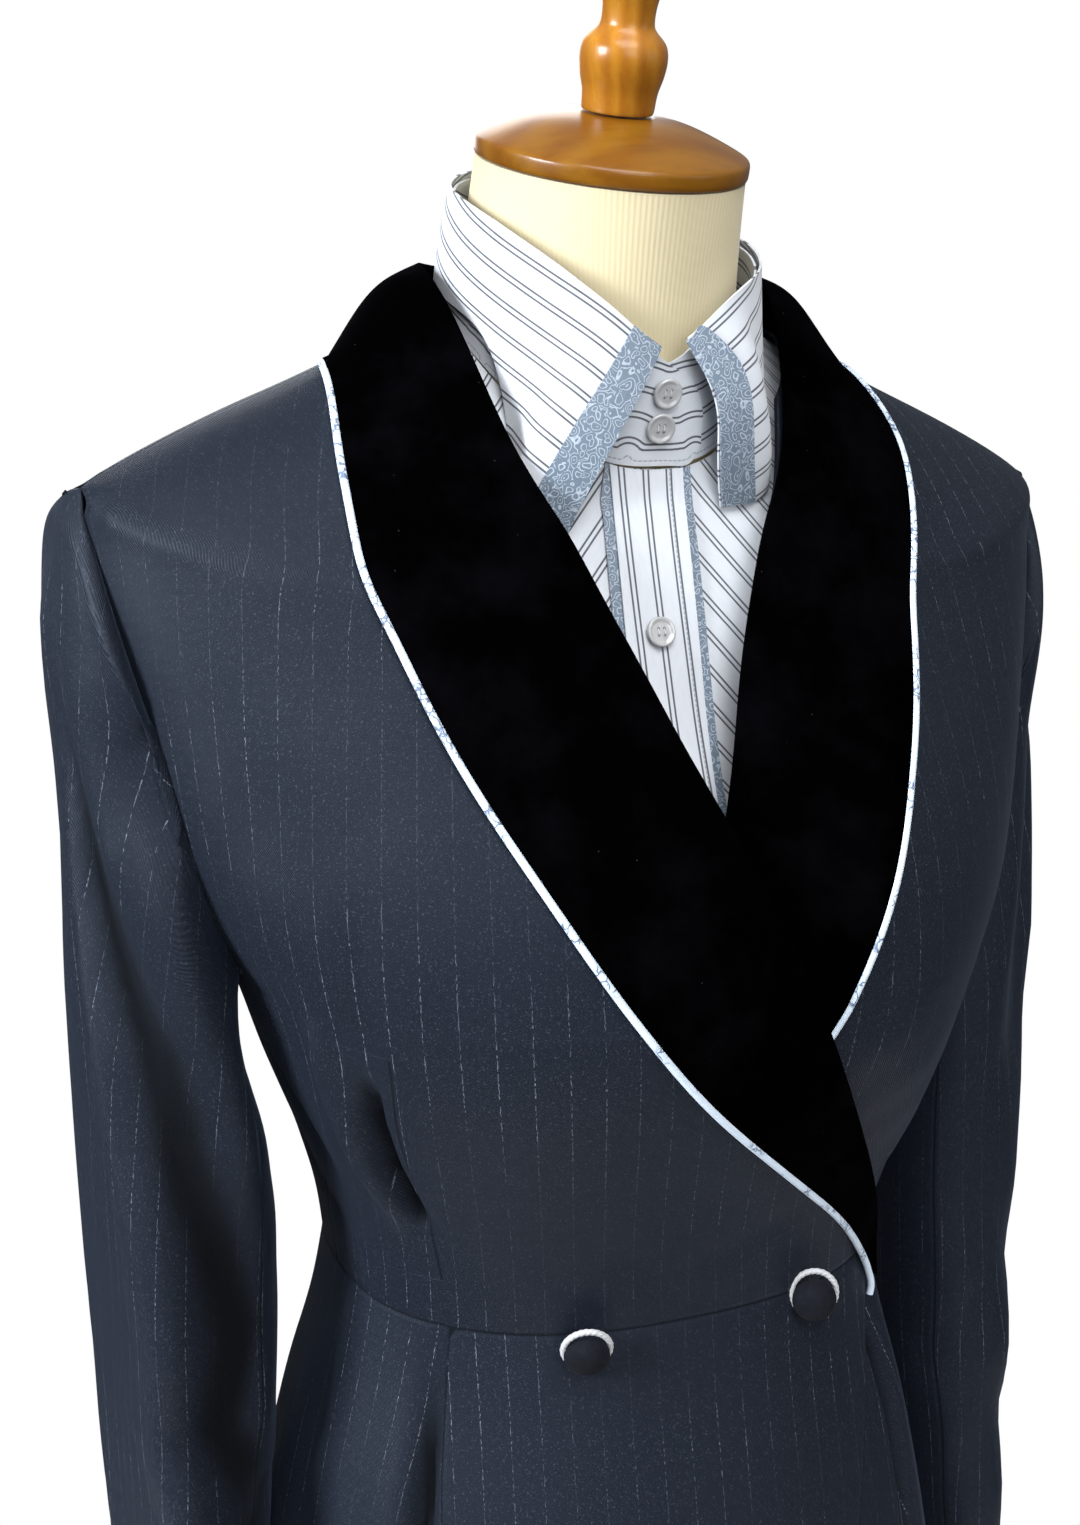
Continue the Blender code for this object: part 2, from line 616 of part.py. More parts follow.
def make_shirt():
    heights = SHIRT_LOW + [armhole(k, 0)[0] for k in range(ARMHOLE_STEPS + 1)] + [0.345, 0.360]
    for side in (RIGHT, LEFT):
        grid = []
        for height in heights:
            outs = spread(armhole_out(height, ARMHOLE_FRONT + 6) - SEAM_ANGLE, SEAM_ANGLE * 2, 7)
            grid.append([skin(height, side * out, shirt_lift(height, out)) for out in outs])
        outs = spread(90.0 - SEAM_ANGLE, SEAM_ANGLE * 2, 7)
        grid.append([skin(shirt_top(out), side * out, shirt_lift(shirt_top(out), out)) for out in outs])
        grid.append([neckline(side * out) for out in outs])
        if side == LEFT:
            grid = [row[::-1] for row in grid]
        cloth("shirt_front_" + SIDE_NAMES[side], grid, SHIRTING, SHIRT)
    grid = []
    for height in heights:
        limit = armhole_out(height, -ARMHOLE_BACK - 4) + SEAM_ANGLE
        grid.append([skin(height, angle, shirt_lift(height, min(angle, 360 - angle)))
                     for angle in spread(limit, 360 - limit, 9)])
    angles = spread(90.0 + SEAM_ANGLE, 270.0 - SEAM_ANGLE, 9)
    outs = [min(angle, 360 - angle) for angle in angles]
    grid.append([skin(shirt_top(out), angle, shirt_lift(shirt_top(out), out))
                 for angle, out in zip(angles, outs)])
    grid.append([neckline(angle) for angle in angles])
    cloth("shirt_back", grid, SHIRTING, SHIRT)


def make_stand():
    """Collar stand: one band whose visible end laps over the other at the front."""
    end = 15.5
    angles = [-10.0, 4.0, 20.0] + spread(40.0, 320.0, 15) + [338.0, 348.0, 356.0, 364.0, 371.0, 360.0 + end]
    bottom, middle, top = [], [], []
    for angle in angles:
        signed = angle if angle <= 180 else angle - 360
        row = read(COLLAR, abs(signed))
        reach = row.reach + 0.0016 * ease(angle, 322.0, 340.0)
        drop = COLLAR_SLOPE * max(0.0, math.sin(math.radians(signed)))
        base, high = row.base, row.fold - drop - 0.0022
        if signed > -9.0 and angle > 180:
            high = -0.0565 - 0.0145 * ease(signed, -9.0, end) - 0.010 * ease(signed, end - 3.5, end)
            base += 0.006 * ease(signed, end - 3.0, end)
        if angle < 20.0:
            high = -0.062
        bottom.append(neck(angle, base, reach))
        middle.append(neck(angle, (base + high) / 2, reach))
        top.append(neck(angle, high, reach))
    cloth("collar_stand", [bottom, middle, top], SHIRTING, SHIRT)


def leaf_point(side, fold, share, lift=0.0):
    """Point of a collar leaf: share 0 at the fold line, 1 at its lower edge."""
    row = read(LEAF, fold)
    clear = LEAF_OUT + 0.0012 * (1 - ease(fold, 30.0, 50.0))
    top = fold_line(side * fold, clear)
    edge_height, edge_out = row.edge_height, row.edge_out
    if side == LEFT:
        edge_height, edge_out = edge_height + row.left_height, edge_out + row.left_out
    bottom = skin(edge_height, side * edge_out, shirt_lift(edge_height, edge_out, SHIRTING + 0.0012))
    collar = read(COLLAR, fold)
    hidden = neck(side * fold, collar.base + 0.010, collar.reach + LEAF_OUT)
    bottom = bottom.lerp(hidden, ease(fold, 35.0, 55.0))
    place = top.lerp(bottom, share)
    away = Vector((place.x, place.y + 0.015, 0)).normalized()
    bulge = 0.0006 + 0.0044 * (1 - ease(fold, 12.0, 32.0))
    place += away * (bulge * math.sin(math.pi * share) + lift)
    if side == LEFT:
        swell = ease(fold, 8.0, 20.0) * (1 - ease(fold, 32.0, 60.0))
        place += away * LEAF_SWELL * share * (1 - share) ** 0.5 * swell
        place.x += LEAF_SWAY * share * (1 - share) ** 3 * (1 - ease(fold, 12.0, 30.0))
    return place


def make_leaf(side):
    name = SIDE_NAMES[side]
    folds = [2.5, 7.0, 13.0, 20.0, 30.0] + spread(40.0, 160.0, 7) + [180.0 - 0.3]
    shares = spread(0.0, 1.0, 6)
    grid = [[leaf_point(side, fold, share) for fold in folds] for share in shares[::-1]]
    trim_folds = spread(2.5, 2.5 + LEAF_TRIM, 4)
    trim = [[leaf_point(side, fold, share, SHIRTING + SEAM + 0.0001) for fold in trim_folds]
            for share in spread(0.0, 1.0, 9)[::-1]]
    if side == RIGHT:
        grid = [row[::-1] for row in grid]
        trim = [row[::-1] for row in trim]
    cloth("collar_leaf_" + name, grid, SHIRTING, SHIRT)
    cloth("collar_trim_" + name, trim, SHIRTING * 0.8, JACQUARD)


def placket_grid(left, right, lift, columns):
    heights = [height for height in SHIRT_LOW if height >= PLACKET_END]
    heights += [armhole(k, 0)[0] for k in range(ARMHOLE_STEPS + 1)] + [0.345, 0.360, 0.368]
    grid = []
    for height in heights:
        row = []
        lean = 0.0025 + PLACKET_LEAN * min(max(0.345 - height, 0.0), 0.12)
        for x in spread(left, right, columns):
            angle = angle_at(height, x - lean)
            row.append(skin(height, angle, shirt_lift(height, angle, SHIRTING + lift)))
        grid.append(row)
    angles = [math.degrees(math.asin((x - 0.0025) / 0.073)) for x in spread(left, right, columns)]
    front = Vector((0, -SHIRTING - lift, 0))
    grid.append([neckline(angle) + front for angle in angles])
    return grid


def make_placket():
    trim_lift, strip_lift = 0.0006, 0.0016
    cloth("placket", placket_grid(PLACKET_LEFT, PLACKET_RIGHT, strip_lift, 4), SHIRTING * 0.8, SHIRT)
    tuck = 0.002
    for side, edge in ((RIGHT, PLACKET_LEFT), (LEFT, PLACKET_RIGHT)):
        inner, outer = edge - side * tuck, edge + side * PLACKET_TRIM
        grid = placket_grid(min(inner, outer), max(inner, outer), trim_lift, 3)
        cloth("placket_trim_" + SIDE_NAMES[side], grid, SHIRTING * 0.6, JACQUARD)


def make_shirt_buttons():
    """Clear four-hole buttons, dished, on the stand and the placket."""
    radius = 0.0060
    profile = [(0.0, 0.0016), (radius * 0.62, 0.0016), (radius * 0.74, 0.0023), (radius * 0.94, 0.0022),
               (radius, 0.0014), (radius * 0.86, 0.0), (0.0, 0.0)]
    for label, angle, height in (("upper", 1.0, -0.073), ("lower", -0.5, -0.086)):
        reach = COLLAR[0].reach + 0.0016 + SHIRTING + SEAM * 3
        place = neck(angle, height, reach)
        normal = (neck(angle, height, reach + 0.05) - place).normalized()
        stand_on(turned("collar_button_" + label, profile, CLEAR, 12), place, normal)
    lift = SHIRTING + 0.0016 + SHIRTING * 0.8 + SEAM * 2

    def on_placket(height):
        angle = angle_at(height, PLACKET_BUTTON_X)
        return skin(height, angle, shirt_lift(height, angle, lift))

    place = on_placket(0.3155)
    normal = Vector((1, 0, 0)).cross(on_placket(0.320) - on_placket(0.304)).normalized()
    stand_on(turned("placket_button", profile, CLEAR, 12), place, normal)


# ---------------------------------------------------------------- dress form
def make_form():
    """Padded torso and neck as one smooth solid, with no limbs."""
    heights = [TORSO_END, -0.220, -0.150, -0.080, -0.030, 0.0, 0.045, 0.090, 0.130,
               0.170, 0.220, 0.270, 0.305, 0.329, 0.345, 0.360]
    angles = spread(-180.0, 180.0, 25)[:-1]
    rings = []
    for height in heights:
        ring = []
        for angle in angles:
            out = abs(angle)
            clear = FORM_INSET + (0.0008 - FORM_INSET) * contact(height, out)
            side_clear = 0.012 * ease(height, 0.120, 0.150) * (1 - ease(height, 0.312, 0.345))
            side_clear *= ease(out, 55, 85) * (1 - ease(out, 95, 140))
            ring.append(skin(height, angle, shirt_lift(height, out) - clear - side_clear))
        rings.append(ring)
    for point in rings[0]:
        point.z = WAIST + TORSO_END
    rings.append([skin(shirt_top(angle), angle, shirt_lift(shirt_top(angle), abs(angle)) - 0.0050)
                  for angle in angles])
    for front, side, out in ((-0.099, -0.071, 0.001), (-0.082, -0.056, 0.0), (-0.060, -0.042, 0.0),
                             (-0.036, -0.026, 0.0), (-0.016, -0.013, 0.0), (-CAP_SINK, -CAP_SINK, 0.0)):
        rings.append([neck(angle, side + (front - side) * max(0.0, math.cos(math.radians(angle))) ** 2, out)
                      for angle in angles])
    count = len(angles)
    vertices = [point for ring in rings for point in ring]
    faces = [(r * count + c, r * count + (c + 1) % count,
              (r + 1) * count + (c + 1) % count, (r + 1) * count + c)
             for r in range(len(rings) - 1) for c in range(count)]
    faces.append(tuple(range(count))[::-1])
    faces.append(tuple(range((len(rings) - 1) * count, len(rings) * count)))
    mesh = bpy.data.meshes.new("form_torso")
    mesh.from_pydata(vertices, [], faces)
    mesh.shade_smooth()
    part = bpy.data.objects.new("form_torso", mesh)
    PARTS.objects.link(part)
    finish(part, "form_torso", JERSEY)


def make_wood():
    """Neck cap and finial along the leaning neck, pole and base below the torso."""
    axis = Vector((0, -math.sin(NECK_TILT), math.cos(NECK_TILT)))
    cap = [(0.0, 0.0195), (0.016, 0.0193), (0.032, 0.0162), (0.044, 0.0118), (0.0515, 0.0088),
           (0.0545, 0.0068), (0.0545, 0.0018), (0.0530, 0.0), (0.0, 0.0)]
    cap_foot = NECK_TOP + axis * (SEAM - CAP_SINK)
    stand_on(turned("neck_cap", cap, WOOD, 26), cap_foot, axis)
    finial = [(0.0, 0.0835), (0.0040, 0.0830), (0.0090, 0.0800), (0.0128, 0.0740), (0.0142, 0.0660),
              (0.0136, 0.0560), (0.0116, 0.0440), (0.0104, 0.0375), (0.0104, 0.0330), (0.0120, 0.0300),
              (0.0160, 0.0260), (0.0174, 0.0205), (0.0164, 0.0130), (0.0146, 0.0080), (0.0146, 0.0040),
              (0.0140, 0.0), (0.0, 0.0)]
    stand_on(turned("finial", finial, WOOD, 14), cap_foot + axis * (cap[0][1] + SEAM), axis)
    under_torso = WAIST + TORSO_END - SEAM
    socket = [(0.0, under_torso), (0.050, under_torso), (0.052, under_torso - 0.004),
              (0.048, under_torso - 0.012),
              (0.030, under_torso - 0.018), (0.024, under_torso - 0.030), (0.021, under_torso - 0.046),
              (0.0, under_torso - 0.046)]
    turned("pole_socket", socket, WOOD, 16)
    top, foot = under_torso - 0.046 - SEAM, BASE_THICKNESS + 0.030 + SEAM
    pole = [(0.0, top), (POLE_RADIUS, top)]
    for middle in (top - 0.060, foot + 0.070):
        pole += [(POLE_RADIUS, middle + 0.013), (POLE_RADIUS + 0.006, middle + 0.005),
                 (POLE_RADIUS + 0.006, middle - 0.005), (POLE_RADIUS, middle - 0.013)]
    pole += [(POLE_RADIUS, foot), (0.0, foot)]
    turned("pole", pole, WOOD, 12)
    edge = BASE_RADIUS
    base = [(0.0, foot - SEAM), (0.026, foot - SEAM), (0.030, foot - 0.008), (0.038, foot - 0.020),
            (0.060, BASE_THICKNESS + 0.004), (0.110, BASE_THICKNESS), (edge - 0.024, BASE_THICKNESS - 0.004),
            (edge - 0.008, BASE_THICKNESS - 0.009), (edge, 0.009), (edge - 0.004, 0.0), (0.0, 0.0)]
    turned("stand_base", base, WOOD, 28)


# ---------------------------------------------------------------- build
for thing in list(bpy.data.objects):
    bpy.data.objects.remove(thing, do_unlink=True)
PARTS = bpy.data.collections.new("showmanship_suit_on_dress_form")
bpy.context.scene.collection.children.link(PARTS)

Fold = namedtuple("Fold", "height out")
FOLD = {RIGHT: [Fold(row.fold_height, row.fold_out) for row in LAPEL[3:-2]],
        LEFT: [Fold(row.fold_height, row.fold_out + row.left_fold) for row in LAPEL[3:-2]]}

SUIT = material("suiting_charcoal", (0.020, 0.023, 0.032), 0.62, 0.2)
VELVET_BLACK = material("velvet_black", (0.004, 0.004, 0.006), 0.95, 0.4)
PIPING_SATIN = material("satin_pale_blue", (0.62, 0.68, 0.76), 0.38)
JACQUARD = material("jacquard_blue_grey", (0.20, 0.27, 0.36), 0.5)
SHIRT = material("shirting_striped", (0.76, 0.80, 0.88), 0.7)
CLEAR = material("button_clear", (0.70, 0.71, 0.72), 0.15)
JERSEY = material("jersey_cream", (0.78, 0.70, 0.52), 0.85)
WOOD = material("wood_varnished", (0.36, 0.13, 0.04), 0.3)

for each_side in (RIGHT, LEFT):
    make_bodice(each_side)
    make_skirt(each_side)
    make_sleeve(each_side)
    make_lapel(each_side)
    make_waist_button(each_side)
    make_leaf(each_side)
make_shirt()
make_stand()
make_placket()
make_shirt_buttons()
make_form()
make_wood()
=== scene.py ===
import bpy
import numpy as np
from math import cos, pi, radians, sin
from mathutils import Matrix, Vector
from mathutils.bvhtree import BVHTree
from mathutils.kdtree import KDTree


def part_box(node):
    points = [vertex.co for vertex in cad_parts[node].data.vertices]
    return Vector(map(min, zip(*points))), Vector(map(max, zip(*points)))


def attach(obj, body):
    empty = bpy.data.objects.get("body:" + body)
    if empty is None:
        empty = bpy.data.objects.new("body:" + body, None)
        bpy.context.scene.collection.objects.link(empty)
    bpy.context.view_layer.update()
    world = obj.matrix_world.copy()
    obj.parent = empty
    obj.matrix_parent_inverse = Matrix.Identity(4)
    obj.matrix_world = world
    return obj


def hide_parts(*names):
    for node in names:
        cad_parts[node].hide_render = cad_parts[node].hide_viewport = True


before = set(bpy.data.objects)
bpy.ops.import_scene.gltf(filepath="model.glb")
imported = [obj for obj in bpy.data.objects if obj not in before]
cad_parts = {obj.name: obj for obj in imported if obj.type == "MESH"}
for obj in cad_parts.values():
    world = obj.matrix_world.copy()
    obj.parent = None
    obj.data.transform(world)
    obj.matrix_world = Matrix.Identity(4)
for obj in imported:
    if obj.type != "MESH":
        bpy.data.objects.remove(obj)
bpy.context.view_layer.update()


# ---- room: a plain pale floor and soft studio light, with the camera a step to the wearer's right of
# the suit and a little above it, looking down
bpy.ops.mesh.primitive_circle_add(vertices=96, radius=0.95, fill_type="NGON", location=(0, 0, -0.0004))
floor = bpy.context.object
floor.name = "floor"
floor.data.transform(floor.matrix_world)
floor.matrix_world = Matrix.Identity(4)
paint = bpy.data.materials.new("floor_paint")
paint.use_nodes = True
shade = paint.node_tree.nodes["Principled BSDF"]
shade.inputs["Base Color"].default_value = (0.92, 0.92, 0.92, 1)
shade.inputs["Roughness"].default_value = 0.9
floor.data.materials.append(paint)

world = bpy.data.worlds.new("studio")
bpy.context.scene.world = world
world.use_nodes = True
sky = world.node_tree
backdrop = sky.nodes["Background"]
backdrop.inputs["Color"].default_value = (1.0, 1.0, 1.0, 1)
facing = sky.nodes.new("ShaderNodeTexCoord")
split = sky.nodes.new("ShaderNodeSeparateXYZ")
sky.links.new(facing.outputs["Generated"], split.inputs[0])
from_above = sky.nodes.new("ShaderNodeMapRange")
for key, value in (("From Min", -0.4), ("From Max", 0.9), ("To Min", 0.04), ("To Max", 0.40)):
    from_above.inputs[key].default_value = value
sky.links.new(split.outputs["Z"], from_above.inputs["Value"])
seen = sky.nodes.new("ShaderNodeLightPath")
glow = sky.nodes.new("ShaderNodeMix")
glow.inputs[3].default_value = 1.0
sky.links.new(seen.outputs["Is Camera Ray"], glow.inputs[0])
sky.links.new(from_above.outputs[0], glow.inputs[2])
sky.links.new(glow.outputs[0], backdrop.inputs["Strength"])
bpy.context.scene.view_settings.view_transform = "Standard"

for lamp_name, place, size, power, tint in (
        ("window", (-2.4, -0.5, 1.9), 0.9, 125, (0.93, 0.965, 1.0)),
        ("ceiling", (-0.2, -1.5, 3.0), 1.6, 62, (1.0, 1.0, 1.0)),
        ("front", (-0.2, -3.0, 1.8), 1.6, 34, (1.0, 1.0, 1.0)),
        ("fill", (2.2, -1.8, 1.7), 1.6, 7, (1.0, 0.99, 0.97)),
        ("back", (0.6, 2.8, 2.4), 1.8, 34, (1.0, 1.0, 1.0))):
    lamp = bpy.data.lights.new(lamp_name, "AREA")
    lamp.size = size
    lamp.energy = power
    lamp.color = tint
    holder = bpy.data.objects.new(lamp_name, lamp)
    bpy.context.scene.collection.objects.link(holder)
    holder.location = place
    holder.rotation_euler = (Vector((0, 0, 1.0)) - Vector(place)).to_track_quat("-Z", "Y").to_euler()

EYE = Vector((-0.32479, -0.73663, 1.22311))
TURN, TILT, LEAN = -0.39216, 0.20906, -0.00096
camera = bpy.data.objects.new("camera", bpy.data.cameras.new("camera"))
bpy.context.scene.collection.objects.link(camera)
camera.data.lens = 45.05
camera.data.clip_start = 0.05
away = Vector((sin(TURN) * cos(TILT), -cos(TURN) * cos(TILT), sin(TILT)))
across = (-away).cross(Vector((0, 0, 1))).normalized()
above = across.cross(-away)
right = across * cos(LEAN) + above * sin(LEAN)
up = above * cos(LEAN) - across * sin(LEAN)
camera.matrix_world = Matrix.Translation(EYE) @ Matrix((right, up, away)).transposed().to_4x4()
bpy.context.scene.camera = camera


# ---- stand: a round base, a pole with two turned rings and a socket under the torso, all of one
# varnished brown wood, turned on a lathe and screwed together
def only(piece):
    if bpy.context.mode != "OBJECT":
        bpy.ops.object.mode_set(mode="OBJECT")
    bpy.ops.object.select_all(action="DESELECT")
    piece.select_set(True)
    bpy.context.view_layer.objects.active = piece


def apply_all(piece):
    only(piece)
    for modifier in list(piece.modifiers):
        bpy.ops.object.modifier_apply(modifier=modifier.name)


def turned(name, profile, foot, axis, sides=48, rounding=2):
    """A piece turned on a lathe: one ring, drawn up ring by ring, then rounded."""
    axis = Vector(axis).normalized()
    bpy.ops.object.select_all(action="DESELECT")
    bpy.ops.mesh.primitive_circle_add(vertices=sides, radius=profile[0][0], fill_type="NGON",
                                      location=(0, 0, profile[0][1]))
    piece = bpy.context.object
    piece.name = name
    bpy.ops.object.mode_set(mode="EDIT")
    bpy.ops.mesh.select_all(action="SELECT")
    radius, height = profile[0]
    for wide, high in profile[1:]:
        bpy.ops.mesh.extrude_region_move(TRANSFORM_OT_translate={"value": (0, 0, high - height)})
        bpy.ops.transform.resize(value=(wide / radius, wide / radius, 1))
        radius, height = wide, high
    bpy.ops.mesh.inset(thickness=radius * 0.4)
    bpy.ops.mesh.select_all(action="SELECT")
    bpy.ops.mesh.normals_make_consistent(inside=False)
    bpy.ops.object.mode_set(mode="OBJECT")
    round_over = piece.modifiers.new("round", "SUBSURF")
    round_over.levels = round_over.render_levels = rounding
    apply_all(piece)
    turn = Matrix.Translation(Vector(foot)) @ axis.to_track_quat("Z", "Y").to_matrix().to_4x4()
    piece.data.transform(turn @ piece.matrix_world)
    piece.matrix_world = Matrix.Identity(4)
    bpy.ops.object.shade_smooth_by_angle(angle=radians(50))
    return piece


def finish_with(piece, material, slot_name, *nodes):
    """Give a piece its material, let it ride on the one body and stand for its solids; its slot name is not
    used.
    """
    piece.data.materials.clear()
    piece.data.materials.append(material)
    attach(piece, "root")
    if nodes:
        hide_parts(*nodes)


def new_material(name, colour, roughness):
    """A material with its Principled shader, its node tree and its coordinates to hand."""
    made = bpy.data.materials.new(name)
    made.use_nodes = True
    tree = made.node_tree
    shader = tree.nodes["Principled BSDF"]
    shader.inputs["Base Color"].default_value = (*colour, 1)
    shader.inputs["Roughness"].default_value = roughness
    return made, tree, shader


def node(tree, kind, inputs=(), **settings):
    """One node with its settings and its inputs, each a value or another node's socket."""
    made = tree.nodes.new(kind)
    for key, value in settings.items():
        setattr(made, key, value)
    for key, value in dict(inputs).items():
        if isinstance(value, bpy.types.NodeSocket):
            tree.links.new(value, made.inputs[key])
        else:
            made.inputs[key].default_value = value
    return made


def own_place(tree):
    """Where a point lies on the object, in metres."""
    return node(tree, "ShaderNodeTexCoord").outputs["Object"]


def maths(tree, operation, a, b=0.0, c=0.0):
    made = node(tree, "ShaderNodeMath", {0: a, 1: b, 2: c}, operation=operation)
    return made.outputs[0]


def blend_colours(tree, share, first, second, how="MIX"):
    made = node(tree, "ShaderNodeMix", data_type="RGBA", blend_type=how)
    for socket, value in ((made.inputs[0], share), (made.inputs[6], first), (made.inputs[7], second)):
        if isinstance(value, bpy.types.NodeSocket):
            tree.links.new(value, socket)
        else:
            socket.default_value = value if isinstance(value, float) else (*value[:3], 1)
    return made.outputs[2]


def bumped(tree, shader, height, strength, distance):
    made = node(tree, "ShaderNodeBump", {"Height": height, "Strength": strength, "Distance": distance})
    tree.links.new(made.outputs["Normal"], shader.inputs["Normal"])
    return made


def wood_finish(name, along, scale, tone=1.0):
    """Varnished wood: rings drawn out along the grain, fine pores and a clear coat."""
    made, tree, shader = new_material(name, (0.36, 0.13, 0.04), 0.32)
    place = own_place(tree)
    turned_place = node(tree, "ShaderNodeMapping", {"Vector": place, "Rotation": along, "Scale": scale})
    warp = node(tree, "ShaderNodeTexNoise", {"Vector": turned_place.outputs[0], "Scale": 1.6, "Detail": 4.0})
    rings = node(tree, "ShaderNodeTexWave", {"Vector": turned_place.outputs[0], "Scale": 0.9,
                                             "Distortion": 5.0, "Detail": 3.0, "Detail Scale": 1.2},
                 wave_type="BANDS", bands_direction="X")
    pores = node(tree, "ShaderNodeTexNoise", {"Vector": turned_place.outputs[0], "Scale": 9.0,
                                              "Detail": 6.0, "Roughness": 0.7})
    grain = maths(tree, "MULTIPLY_ADD", rings.outputs["Fac"], 0.55,
                  maths(tree, "MULTIPLY", warp.outputs["Fac"], 0.45))
    ramp = node(tree, "ShaderNodeValToRGB", {"Fac": grain})
    stops = ramp.color_ramp.elements
    stops[0].position, stops[0].color = 0.10, (0.280, 0.100, 0.0080, 1)
    stops[1].position, stops[1].color = 0.90, (0.400, 0.175, 0.0160, 1)
    middle = stops.new(0.5)
    middle.color = (0.340, 0.135, 0.0110, 1)
    fine = node(tree, "ShaderNodeValToRGB", {"Fac": pores.outputs["Fac"]})
    fine.color_ramp.elements[0].position, fine.color_ramp.elements[0].color = 0.36, (0.62, 0.55, 0.5, 1)
    fine.color_ramp.elements[1].position = 0.50
    colour = blend_colours(tree, 0.35, ramp.outputs[0], fine.outputs[0], "MULTIPLY")
    colour = blend_colours(tree, 1.0, colour, (tone, tone * (0.9 + 0.1 * tone), tone * tone), "MULTIPLY")
    tree.links.new(colour, shader.inputs["Base Color"])
    rough = node(tree, "ShaderNodeMapRange", {0: warp.outputs["Fac"], 3: 0.22, 4: 0.42})
    tree.links.new(rough.outputs[0], shader.inputs["Roughness"])
    shader.inputs["Specular IOR Level"].default_value = 0.30
    shader.inputs["Coat Weight"].default_value = 0.20
    shader.inputs["Coat Roughness"].default_value = 0.15
    bumped(tree, shader, pores.outputs["Fac"], 0.10, 0.0004)
    return made


stand_wood = wood_finish("stand_wood", (0, 0, 0), (26.0, 26.0, 3.0), 0.60)
BASE_RADIUS = 0.190
base = turned("stand_base_turned",
              [(BASE_RADIUS - 0.010, 0.0), (BASE_RADIUS - 0.004, 0.0), (BASE_RADIUS, 0.004),
               (BASE_RADIUS, 0.010), (BASE_RADIUS - 0.004, 0.0145), (BASE_RADIUS - 0.010, 0.0175),
               (BASE_RADIUS - 0.024, 0.0215),
               (0.140, 0.0245), (0.110, 0.0262), (0.080, 0.0275), (0.060, 0.0303), (0.045, 0.0365),
               (0.038, 0.0420), (0.030, 0.0505), (0.0265, 0.0550), (0.0260, 0.0562)],
              (0, 0, 0), (0, 0, 1), sides=64)
finish_with(base, wood_finish("base_wood", (0, 0, 0), (2.5, 22.0, 22.0), 0.60), "wood_varnished", "stand_base")

pole_low, pole_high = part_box("pole")
SHAFT, RING = 0.0150, 0.0212
pole_profile = [(SHAFT - 0.0010, pole_low.z), (SHAFT, pole_low.z + 0.0015)]
for middle in (pole_low.z + 0.070, pole_high.z - 0.060):
    pole_profile += [(SHAFT, middle - 0.016), (SHAFT + 0.0006, middle - 0.0125),
                     (RING - 0.0015, middle - 0.0085), (RING, middle - 0.0040),
                     (RING, middle + 0.0040), (RING - 0.0015, middle + 0.0085),
                     (SHAFT + 0.0006, middle + 0.0125), (SHAFT, middle + 0.016)]
pole_profile += [(SHAFT, pole_high.z - 0.0015), (SHAFT - 0.0010, pole_high.z)]
pole = turned("pole_turned", pole_profile, (0, 0, 0), (0, 0, 1), sides=32)
finish_with(pole, stand_wood, "wood_varnished", "pole")

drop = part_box("pole_socket")[1].z
socket = turned("pole_socket_turned",
                [(0.0195, drop - 0.046), (0.0210, drop - 0.0450), (0.0216, drop - 0.041),
                 (0.0236, drop - 0.031), (0.0262, drop - 0.024), (0.0310, drop - 0.0185),
                 (0.0400, drop - 0.0148), (0.0478, drop - 0.0118), (0.0512, drop - 0.0075),
                 (0.0516, drop - 0.0035), (0.0500, drop - 0.0008), (0.0480, drop)],
                (0, 0, 0), (0, 0, 1))
finish_with(socket, stand_wood, "wood_varnished", "pole_socket")


# ---- dress form: one padded torso and neck with no limbs, covered in fine ribbed cream jersey
# pulled smooth; the cloth covers all of it but the neck and its foot
SHARP_EDGE = radians(50)


def merged_copy(node_name, name):
    """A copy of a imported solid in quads, left in edit mode with its sharp edges selected."""
    piece = bpy.data.objects.new(name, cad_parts[node_name].data.copy())
    bpy.context.scene.collection.objects.link(piece)
    piece.data.materials.clear()
    only(piece)
    bpy.ops.object.mode_set(mode="EDIT")
    bpy.ops.mesh.select_all(action="SELECT")
    bpy.ops.mesh.remove_doubles(threshold=1e-6)
    bpy.ops.mesh.tris_convert_to_quads(face_threshold=radians(70), shape_threshold=radians(100))
    bpy.ops.mesh.select_all(action="DESELECT")
    bpy.ops.mesh.edges_select_sharp(sharpness=SHARP_EDGE)
    return piece


